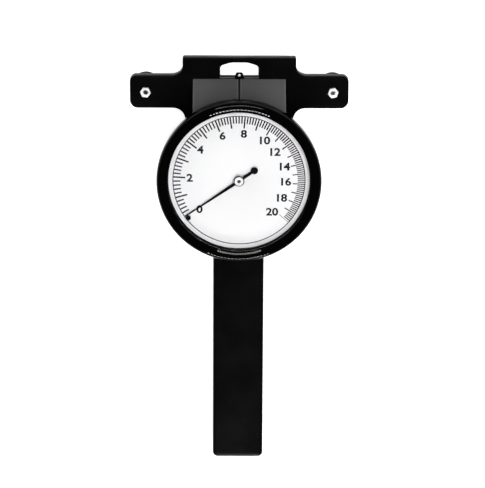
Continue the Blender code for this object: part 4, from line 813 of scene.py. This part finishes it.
def front_plate():
    """The front plate with its window, its notch, its bolt holes and the recess behind its middle."""
    through = (ARM_BACK - CLEAR, PLATE_FRONT + CLEAR)
    return cut(
        plate(head_outline(), ARM_BACK, PLATE_FRONT, 0.4, 0.5),
        block(WINDOW_HALF, SILL_Y, WINDOW_TOP, *through, radius=0.8),
        block(RECESS_HALF, WALL_TOP - WALL, RECESS_TOP, ARM_BACK - CLEAR, PLATE_BACK),
        block(LUG_FOOT_HALF, SILL_Y - 1.2, SILL_Y + 0.3, LUG_BACK - 0.3, PLATE_FRONT + CLEAR),
        disc(0, BOLT_HOLE, *through, centre=AXES["left"]),
        disc(0, BOLT_HOLE, *through, centre=AXES["right"]),
    )


def block_pad():
    """The pad behind the raised block, with the arch."""
    return cut(
        block(BLOCK_HALF - 0.7, AXIS_Y + 7.0, BLOCK_TOP - 0.7, PAD_BACK, PLATE_BACK + OVERLAP, 1.1, 0.3),
        plate(arch_corners(), PAD_BACK - CLEAR, PLATE_BACK + CLEAR),
    )


def housing_wall():
    """The wall round the mechanism, with the slot that the slide comes out of."""
    high = PLATE_BACK + OVERLAP
    return cut(
        plate(wall_outline(WALL_INSET), WALL_BACK, high, 0.25),
        plate(wall_outline(WALL_INSET + WALL), WALL_BACK - CLEAR, high + CLEAR),
        block(SLOT_HALF, WALL_TOP - WALL - CLEAR, WALL_TOP + CLEAR, SLOT_BACK, high + CLEAR),
    )


def tang():
    """The tongue inside the handle, bored for the spring."""
    side = HANDLE_HALF - 2.7
    outline = both_sides([(side, TANG_END, 1.0), (side, HOUSING_END + 2.3)])
    along = shift(0, BORE_END, SLIDE_LEVEL) @ Matrix.Rotation(-math.pi / 2, 4, "X")
    bore = moved(disc(0, BORE_RADIUS, 0, BORE_LENGTH), along)
    return cut(plate(outline, TANG_BACK, TANG_FRONT, 0.3, 0.3), bore)


casting = joined(front_plate(), block_pad(), housing_wall(), tang())
fitted("head_casting", casting, cast_black, "body_housing", slot="black_cast")

# %% [markdown]
# ## Back cover and handle
#
# The gauge rests on its flat back cover. The handle is a plain bar with rounded long edges,
# pushed over the tang and held by two screws from behind. Its long edges have a larger
# radius than those of the casting, as a hand has to close round them.

# %% Cover, handle and their screws
COVER_FRONT = 2.4
HANDLE_FRONT = 22.0
HANDLE_TOP = -41.3
HANDLE_BOTTOM = -165.2
HANDLE_EDGE = 1.8
SINK_RADIUS = 2.2
SINK_DEPTH = 1.6
SCREW_HEAD = 1.9
SCREW_SHANK = 1.0
COVER_SCREWS = [(way * x, y) for way in (-1, 1) for x, y in ((26.3, 25.8), (9.2, -38.7))]
HANDLE_SCREWS = [(0.0, -47.1), (0.0, -71.1)]
SCREWS = (
    # piece, CAD node, places, back of the head, tip, axis of its finish
    ("cover_screw", "rear_cover_screw", COVER_SCREWS, 0.2, 8.7, "dial"),
    ("grip_screw", "handle_screw", HANDLE_SCREWS, 0.2, 6.4, "dial"),
    ("slope_screw", "shoulder_cover_screw", [(-18.0, AXIS_Y), (18.0, AXIS_Y)], 14.1, 23.3, "middle"),
)


def sunk(bm, places):
    """The piece with a recess for a screw's head at each place."""
    return cut(bm, *[disc(0, SINK_RADIUS, -CLEAR, SINK_DEPTH, centre=place) for place in places])


def handle_bar():
    """The bar, with rounded long edges and softly rounded lower corners."""
    corners = [
        (-HANDLE_HALF, HANDLE_TOP), (-HANDLE_HALF, HANDLE_BOTTOM, 2.7),
        (HANDLE_HALF, HANDLE_BOTTOM, 2.7), (HANDLE_HALF, HANDLE_TOP),
    ]
    return sunk(plate(corners, 0, HANDLE_FRONT, HANDLE_EDGE, HANDLE_EDGE), HANDLE_SCREWS)


def screw_slot(centre, half, head_back, depth, turn):
    """The cutter for the slot in a screw's head."""
    slot = block(half, -3, 3, head_back - CLEAR, head_back + depth)
    return moved(slot, shift(*centre) @ Matrix.Rotation(turn, 4, "Z"))


def slotted_screw(centre, head_back, tip):
    """A cheese-head screw whose slotted head faces -Z."""
    head_front = head_back + 1.1
    shape = [
        (0, head_back), (SCREW_HEAD, head_back, 0.25), (SCREW_HEAD, head_front, 0.1),
        (SCREW_SHANK, head_front), (SCREW_SHANK, tip, 0.15), (0, tip),
    ]
    turn = centre[0] * 0.04 + centre[1] * 0.025
    return cut(turned(shape, 32, centre, 3), screw_slot(centre, 0.25, head_back, 0.5, turn))


cover = sunk(plate(wall_outline(WALL_INSET), 0, COVER_FRONT, 0.6, 0.2), COVER_SCREWS)
fitted("back_cover", cover, cast_black, "rear_cover", slot="black_cast")
fitted("handle_bar", handle_bar(), handle_black, "handle", slot="black_moulded")
for piece, node, places, head_back, tip, label in SCREWS:
    for number, centre in enumerate(places, 1):
        fitted(f"{piece}_{number}", slotted_screw(centre, head_back, tip), dark[label],
               f"{node}_{number}", slot="dark_steel")

# %% [markdown]
# ## The sloped cover
#
# A dark grey wedge fills the corner between the head and the dial case. It is easiest to
# draw from the side, so its profile is drawn out along X, its long edges are rounded, and
# the room for the dial case and the narrow groove down its middle are cut from it.

# %% Sloped cover
SLOPE_HALF = 25.0
SLOPE_EDGE_Y = AXIS_Y + 7.35
SLOPE_BACK = 20.3
SLOPE_LIP = 0.8
SLOPE_RISE = 15.4
SLOPE_RUN = 17.6
SLOPE_DEPTH = 22.8
CASE_RADIUS = 40.3
CASE_GAP = 0.3
GROOVE_HALF = 0.45
GROOVE_DEPTH = 1.2
GROOVE_LENGTH = 30.0
ALONG_X = Matrix.Rotation(math.pi / 2, 4, "Z") @ Matrix.Rotation(math.pi / 2, 4, "X")


def sloped_cover():
    """The wedge with its groove, hollowed round the dial case."""
    top = SLOPE_BACK + SLOPE_RISE
    side = [
        (SLOPE_EDGE_Y, SLOPE_BACK), (SLOPE_EDGE_Y, SLOPE_BACK + SLOPE_LIP, 0.4),
        (SLOPE_EDGE_Y - SLOPE_RUN, top), (SLOPE_EDGE_Y - SLOPE_DEPTH, top),
        (SLOPE_EDGE_Y - SLOPE_DEPTH, SLOPE_BACK),
    ]
    wedge = moved(plate(side, -SLOPE_HALF, SLOPE_HALF, 0.5, 0.5), ALONG_X)
    down = Vector((SLOPE_RUN, SLOPE_LIP - SLOPE_RISE)).normalized()
    away = Vector((-down.y, down.x))
    start = Vector((SLOPE_EDGE_Y, SLOPE_BACK + SLOPE_LIP)) + down * 2
    end = start - down * GROOVE_LENGTH
    corners = [tuple(point + away * reach) for point, reach in (
        (start, -GROOVE_DEPTH), (end, -GROOVE_DEPTH), (end, 2), (start, 2))]
    groove = moved(plate(corners, -GROOVE_HALF, GROOVE_HALF), ALONG_X)
    return cut(wedge, groove, disc(0, CASE_RADIUS + CASE_GAP, SLOPE_BACK - CLEAR, 40, steps=128))


fitted("sloped_cover", sloped_cover(), slope_grey, "shoulder_cover", slot="grey_satin")

# %% [markdown]
# ## Dial case and bezel
#
# Both are turned, so a profile and one spin make each of them. The bezel's outer edge is a
# full round, its crest is nearly flat, and a gentle slope runs from there down to the glass.
# A polygon with few sides would show its corners against the white dial, so the spin has
# many steps.

# %% Case and bezel
RING_STEPS = 160
CASE_BACK = 20.3
CASE_TOP = 40.9
CASE_INNER = CASE_RADIUS - 2.0
CASE_LEDGE = CASE_INNER - 1.7
CASE_FLOOR = CASE_BACK + 2.2
DIAL_BACK = 38.6
DIAL_FACE = 39.4
LEDGE_TOP = DIAL_BACK - 0.3
GLASS_FRONT = 43.4
BEZEL_RADIUS = 44.35
BEZEL_OPENING = 38.5
BEZEL_BACK = 36.8
BEZEL_CREST = 45.5
BEZEL_INNER = CASE_RADIUS + CASE_GAP
BEZEL_SEAT = GLASS_FRONT + 0.3

case_profile = [
    (0, CASE_BACK), (CASE_RADIUS, CASE_BACK, 1.0), (CASE_RADIUS, CASE_TOP, 0.2), (CASE_INNER, CASE_TOP),
    (CASE_INNER, LEDGE_TOP), (CASE_LEDGE, LEDGE_TOP), (CASE_LEDGE, CASE_FLOOR, 0.5), (0, CASE_FLOOR),
]
case = turned(case_profile, RING_STEPS, segments=4)
fitted("dial_drum", case, cast_black, "dial_case", slot="black_cast")

bezel_profile = [
    (BEZEL_INNER, BEZEL_BACK, 0.1), (BEZEL_RADIUS, BEZEL_BACK, 0.9), (BEZEL_RADIUS, BEZEL_CREST, 3.0),
    (41.0, BEZEL_CREST, 2.0), (40.2, BEZEL_CREST - 0.26, 5.0), (BEZEL_OPENING, GLASS_FRONT + 0.93, 0.25),
    (BEZEL_OPENING, BEZEL_SEAT, 0.1), (BEZEL_INNER, BEZEL_SEAT),
]
fitted("bezel_ring", turned(bezel_profile, RING_STEPS), bezel_black, "bezel", slot="black_gloss")

# %% [markdown]
# ## The dial
#
# The scale isn't even: the measuring spring and the three rollers make its steps shrink
# towards the right, from about 19 degrees for one unit down to 9. The angle of every second
# unit is given below and the marks between them are spaced evenly. Each mark is a flat bar a
# few hundredths of a millimetre thick, laid on the enamel as print would be. An image could
# carry the print, but then it would blur in a close view.

# %% Dial plate and marks
SCALE_RADIUS = 35.5
UNIT_MARK = (6.6, 0.85)
SMALL_MARK = (4.0, 0.75)
WIDTH_SHARE = 0.5
LINE_HALF = 0.24
PRINT_THICKNESS = 0.03
PRINT_MIDDLE = DIAL_FACE + PRINT_THICKNESS / 2
SMALL_PER_UNIT = 5
EVERY_SECOND_UNIT = (-124.7, -87.0, -52.1, -21.2, 5.1, 30.1, 53.1, 74.2, 93.3, 112.3, 131.0)


def mark_angle(units):
    """The angle of a value on the scale, clockwise from the top of the dial, in radians."""
    place = min(units / 2, len(EVERY_SECOND_UNIT) - 1.001)
    index = int(place)
    first, second = EVERY_SECOND_UNIT[index:index + 2]
    return (first + (second - first) * (place - index)) * DEGREE


def mark(bm, units, length, width):
    """One printed bar from the scale's circle inwards, narrower where the marks stand close."""
    half_step = 0.5 / SMALL_PER_UNIT
    pitch = (mark_angle(units + half_step) - mark_angle(units - half_step)) * SCALE_RADIUS
    width = min(width, WIDTH_SHARE * pitch)
    size = Matrix.Diagonal((width * MM, length * MM, PRINT_THICKNESS * MM, 1))
    turn = Matrix.Rotation(-mark_angle(units), 4, "Z")
    out = shift(0, SCALE_RADIUS - length / 2, PRINT_MIDDLE)
    bmesh.ops.create_cube(bm, size=1, matrix=turn @ out @ size)


dial_edge = CASE_INNER - 0.3
dial_profile = [
    (2.0, DIAL_BACK), (dial_edge, DIAL_BACK), (dial_edge, DIAL_FACE, 0.1), (2.0, DIAL_FACE, 0.1),
]
dial = turned(dial_profile, RING_STEPS, segments=2)
fitted("dial_face", dial, dial_white, "dial_plate", slot="white_dial")

last_unit = 2 * (len(EVERY_SECOND_UNIT) - 1)
marks = bmesh.new()
for index in range(last_unit * SMALL_PER_UNIT + 1):
    mark(marks, index / SMALL_PER_UNIT, *(SMALL_MARK if index % SMALL_PER_UNIT else UNIT_MARK))
fitted("dial_marks", marks, print_black, slot="black_paint")

line_edges = (SCALE_RADIUS - LINE_HALF, SCALE_RADIUS + LINE_HALF)
scale_line = disc(*line_edges, DIAL_FACE, PRINT_MIDDLE, steps=RING_STEPS)
fitted("dial_line", scale_line, print_black, slot="black_paint")

# %% [markdown]
# ### Numbers
#
# The even numbers stand upright inside the marks. A text object makes each of them, turned
# into a mesh before it is placed, because only a mesh keeps its place in its own points.

# %% Numbers on the dial
NUMBER_HEIGHT = 4.4
NUMBER_PLACES = {
    # value: x, y
    0: (-21.2, -16.1), 2: (-26.5, 1.4), 4: (-20.8, 17.0), 6: (-8.9, 24.7),
    8: (2.5, 25.8), 10: (13.8, 22.2), 12: (19.4, 15.9), 14: (24.6, 7.8),
    16: (25.3, -0.6), 18: (23.2, -9.6), 20: (17.9, -17.4),
}
NUMBER_WEIGHT_SHARE = 0.034
NUMBER_STRETCH = 1.15


def number_mesh(value):
    """A number's flat shape as a thin mesh about its own middle, at the height of the real print."""
    curve = bpy.data.curves.new(f"number {value}", "FONT")
    curve.body = str(value)
    curve.size = 1.0
    curve.offset = NUMBER_WEIGHT_SHARE
    curve.extrude = 0.5
    curve.resolution_u = 6
    text = in_scene(curve.name, curve)
    bpy.context.view_layer.update()
    mesh = bpy.data.meshes.new_from_object(text.evaluated_get(bpy.context.evaluated_depsgraph_get()))
    bpy.data.objects.remove(text)
    sides = [sorted(vert.co[axis] for vert in mesh.vertices) for axis in range(3)]
    low, high = Vector([side[0] for side in sides]), Vector([side[-1] for side in sides])
    grow = NUMBER_HEIGHT * MM / (high.y - low.y)
    size = Matrix.Diagonal((grow * NUMBER_STRETCH, grow, PRINT_THICKNESS * MM / (high.z - low.z), 1))
    mesh.transform(size @ Matrix.Translation(-(low + high) / 2))
    return mesh


numbers = bmesh.new()
for value, (x, y) in NUMBER_PLACES.items():
    mesh = number_mesh(value)
    mesh.transform(shift(x, y, PRINT_MIDDLE))
    numbers.from_mesh(mesh)
    bpy.data.meshes.remove(mesh)
bmesh.ops.remove_doubles(numbers, verts=numbers.verts[:], dist=FINE_MERGE)
fitted("dial_numbers", numbers, print_black, slot="black_paint")

# %% [markdown]
# ## Pointer, hub and stop pin
#
# The needle is cut from thin sheet: a long taper, an eye under the hub, a straight tail and
# a round counterweight. It stands at zero against a small pin. The bright turned disc over
# the eye hides the joint with the arbor, whose dark end shows in its middle. Painted shade
# blackens the disc round its bore and on its outer rim.

# %% Pointer
ZERO_TURN = Matrix.Rotation(-mark_angle(0), 4, "Z")
POINTER_BACK = 40.1
POINTER_FRONT = 40.6
POINTER_LENGTH = 34.2
EYE_RADIUS = 2.2
WEIGHT_RADIUS = 1.95
WEIGHT_PLACE = (0, -10.0)
HUB_BACK = 40.9
HUB_FRONT = 41.7
HUB_DISH = 41.55
HUB_RADIUS = 2.9
HUB_BORE = 0.65
# radius, back, front
ZERO_PIN = (1.3, 39.7, 41.5)


def needle():
    """The taper and the tail, with the eye and the counterweight joined on."""
    faces = (POINTER_BACK, POINTER_FRONT)
    side = [(0.7, -9.0), (0.9, 1.0), (0.2, POINTER_LENGTH - 1.2), (0.06, POINTER_LENGTH)]
    eye = disc(HUB_BORE, EYE_RADIUS, *faces, (0, 0.08), 40, segments=2)
    weight = disc(0, WEIGHT_RADIUS, *faces, (0, 0.1), 40, WEIGHT_PLACE, 2)
    blade = plate(both_sides(side), *faces, 0, 0.05)
    return moved(joined(blade, eye, weight), ZERO_TURN)


fitted("needle", needle(), small_black, "pointer", body="pointer_assembly", slot="black_paint")

hub_profile = [
    (HUB_BORE, HUB_BACK), (HUB_RADIUS, HUB_BACK, 0.1), (HUB_RADIUS, HUB_FRONT, 0.5),
    (1.3, HUB_FRONT, 0.1), (1.1, HUB_DISH, 0.1), (HUB_BORE, HUB_DISH, 0.05),
]
hub = turned(hub_profile, 64, segments=4)
fitted("hub_disc", hub, hub_metal, "pointer_hub", body="pointer_assembly", slot="aluminium")

pin_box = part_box("zero_stop_pin")
pin_centre = [(low + high) / 2 / MM for low, high in zip(*pin_box)][:2]
pin = disc(0, *ZERO_PIN, (0.1, 0.45), 32, pin_centre, 4)
fitted("zero_pin", pin, small_black, "zero_stop_pin", slot="black_paint")

# %% [markdown]
# ## Rollers and their bearings
#
# A line runs in the V groove of each roller. All three rollers are alike, with a ball
# bearing pressed into the bore. The groove's root and its rims are rounded in the profile,
# because a sharp rim would cut the line, and the shield of the bearing lies a little deeper
# than its two rings.

# %% Rollers
ROLLER_RADIUS = 7.7
ROLLER_ROOT = 5.4
ROLLER_BORE = 4.15
ROLLER_FACES = (4.0, 12.0)
BEARING_FACES = (5.2, 10.8)
# bore, edge of the inner ring, edge of the outer ring, outside
RING_EDGES = (1.4, 2.3, 3.1, 4.0)
SHIELD_DEPTH = 0.35
ROLLER_STEPS = 96
BEARING_STEPS = 64


def both_faces(back, low, high):
    """A profile from its back half, given as distance, depth below the face and corner radius."""
    return ([(distance, low + depth, *corner) for distance, depth, *corner in back]
            + [(distance, high - depth, *corner) for distance, depth, *corner in reversed(back)])


def grooved_roller(centre):
    """A turned roller with a V groove and a bore."""
    back = [
        (ROLLER_BORE, 0, 0.2), (ROLLER_RADIUS, 0, 0.4),
        (ROLLER_RADIUS, 0.9, 0.25), (ROLLER_ROOT, 3.3, 0.5),
    ]
    return turned(both_faces(back, *ROLLER_FACES), ROLLER_STEPS, centre, 4)


def ball_bearing(centre):
    """Inner ring, outer ring and the two shields between them, as one turned shape."""
    bore, inner, outer, rim = RING_EDGES
    back = [
        (bore, 0, 0.12), (inner, 0, 0.05), (inner, SHIELD_DEPTH),
        (outer, SHIELD_DEPTH), (outer, 0, 0.05), (rim, 0, 0.12),
    ]
    return turned(both_faces(back, *BEARING_FACES), BEARING_STEPS, centre, 2)


ROLLERS = (
    # axis, body, CAD node of the roller, CAD node of its bearing
    ("left", "left_roller", "left_guide_roller", "left_roller_bearing"),
    ("right", "right_roller", "right_guide_roller", "right_roller_bearing"),
    ("middle", "centre_roller", "measuring_roller", "measuring_bearing"),
)
for label, body, roller_node, bearing_node in ROLLERS:
    fitted(f"{label}_grooved_roller", grooved_roller(AXES[label]), dark[label], roller_node,
           body=body, slot="dark_steel")
    fitted(f"{label}_ball_bearing", ball_bearing(AXES[label]), shield[label], bearing_node,
           body=body, slot="bright_steel")

# %% [markdown]
# ## Axle bolts, spacers and nuts
#
# Each guide roller turns on a bolt that comes through the arm from behind. The nut in front
# is the brightest thing on the head: a small plated hexagon whose corners are turned off in a
# cone, with the bolt's end standing a little out of it. A hexagon could be chamfered edge by
# edge, but on a real nut the cone and the six flats meet in curved edges, and cutting the
# flats from a turned blank gives just those.

# %% Nuts
NUT_BACK = 20.3
NUT_FRONT = 22.3
NUT_FLATS = 5.0
NUT_BORE = 1.4
NUT_CHAMFER = 0.3
NUT_FACE = 0.49 * NUT_FLATS
NUT_TURNS = {"left": -6 * DEGREE, "right": 11 * DEGREE}


def hexagon_nut(centre, turn):
    """A turned blank with both faces chamfered, cut to a hexagon."""
    corner = NUT_FLATS / math.sqrt(3)
    flat = NUT_FLATS / 2
    blank = turned([
        (NUT_BORE, NUT_BACK, 0.15), (NUT_FACE, NUT_BACK), (corner, NUT_BACK + NUT_CHAMFER),
        (corner, NUT_FRONT - NUT_CHAMFER), (NUT_FACE, NUT_FRONT), (NUT_BORE, NUT_FRONT, 0.3),
    ], 72, segments=3)
    outside = [(flat, -4), (flat + 3, -4), (flat + 3, 4), (flat, 4)]
    turns = [Matrix.Rotation(turn + (side + 0.5) * 60 * DEGREE, 4, "Z") for side in range(6)]
    sides = [moved(plate(outside, NUT_BACK - CLEAR, NUT_FRONT + CLEAR), matrix) for matrix in turns]
    return moved(cut(blank, *sides), shift(*centre))


for number, (label, turn) in enumerate(NUT_TURNS.items(), 1):
    fitted(f"{label}_nut", hexagon_nut(AXES[label], turn), zinc[label], f"guide_roller_nut_{number}",
           slot="bright_steel")

# %% Bolts and spacers
BOLT_RADIUS = 1.25
BOLT_HEAD = 2.3
HEAD_BACK = 3.2
HEAD_FRONT = 4.9
BOLT_TIP = 22.9
SLIDE_BOLT_TIP = 15.0
THREAD_PITCH = 0.45
THREAD_DEPTH = 0.12
THREAD_START = 14.5
# bore, radius, back, front
SPACER = (1.4, 2.6, 11.1, 13.6)


def axle_bolt(centre, tip, threaded):
    """A bolt with a slotted cheese head at the back and, where it shows, turned thread rings."""
    shape = [(0, HEAD_BACK), (BOLT_HEAD, HEAD_BACK, 0.3), (BOLT_HEAD, HEAD_FRONT, 0.1),
             (BOLT_RADIUS, HEAD_FRONT)]
    if threaded:
        height = THREAD_START
        while height < tip - 2 * THREAD_PITCH:
            shape += [(BOLT_RADIUS, height), (BOLT_RADIUS - THREAD_DEPTH, height + THREAD_PITCH / 2)]
            height += THREAD_PITCH
    shape += [(BOLT_RADIUS, tip - 0.4), (BOLT_RADIUS - 0.35, tip, 0.1), (0, tip)]
    return cut(turned(shape, 40, centre, 3), screw_slot(centre, 0.35, HEAD_BACK, 0.8, 0.4))


for number, label in enumerate(("left", "right"), 1):
    fitted(f"{label}_axle_bolt", axle_bolt(AXES[label], BOLT_TIP, True), bright[label],
           f"guide_roller_bolt_{number}", slot="bright_steel")
    fitted(f"{label}_spacer", disc(*SPACER, (0.15, 0.15), 48, AXES[label], 3), spacer_metal[label],
           f"guide_roller_spacer_{number}", slot="aluminium")
fitted("slide_axle", axle_bolt(AXES["middle"], SLIDE_BOLT_TIP, False), bright["middle"],
       "measuring_axle", body="slide_assembly", slot="bright_steel")

# %% [markdown]
# ## Stop in the window sill
#
# A low black lug stands on the sill with its foot in a notch, and the polished end of a pin
# shows in its middle. Seen from above it is the small bump that rises into the window.

# %% Lug and pin
LUG_FRONT = 20.7
FOOT_FRONT = 19.7
PIN_FRONT = 20.95
PIN_RADIUS = 0.65
PIN_HOLE = 0.8


def sill_lug():
    """The lug with its round shoulders, its foot and the hole for the pin."""
    outline = both_sides([(2.7, SILL_Y + 0.1), (1.7, STOP_Y + 1.3, 0.8)])
    lug = plate(outline, LUG_BACK, LUG_FRONT, 0.1, 0.25)
    foot = block(LUG_FOOT_HALF - 0.3, SILL_Y - 0.9, SILL_Y + 0.3, LUG_BACK, FOOT_FRONT)
    pin_hole = disc(0, PIN_HOLE, LUG_BACK - CLEAR, LUG_FRONT + CLEAR, centre=(0, STOP_Y))
    return cut(joined(lug, foot), pin_hole)


fitted("sill_lug", sill_lug(), small_black, "stop_lug", slot="black_paint")
pin = disc(0, PIN_RADIUS, LUG_BACK, PIN_FRONT, (0.1, 0.25), 32, (0, STOP_Y), 4)
fitted("sill_pin", pin, zinc["middle"], "stop_pin", slot="bright_steel")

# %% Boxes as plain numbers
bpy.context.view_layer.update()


def plain(box):
    """A box as plain lists of numbers."""
    return [[float(number) for number in corner] for corner in box]
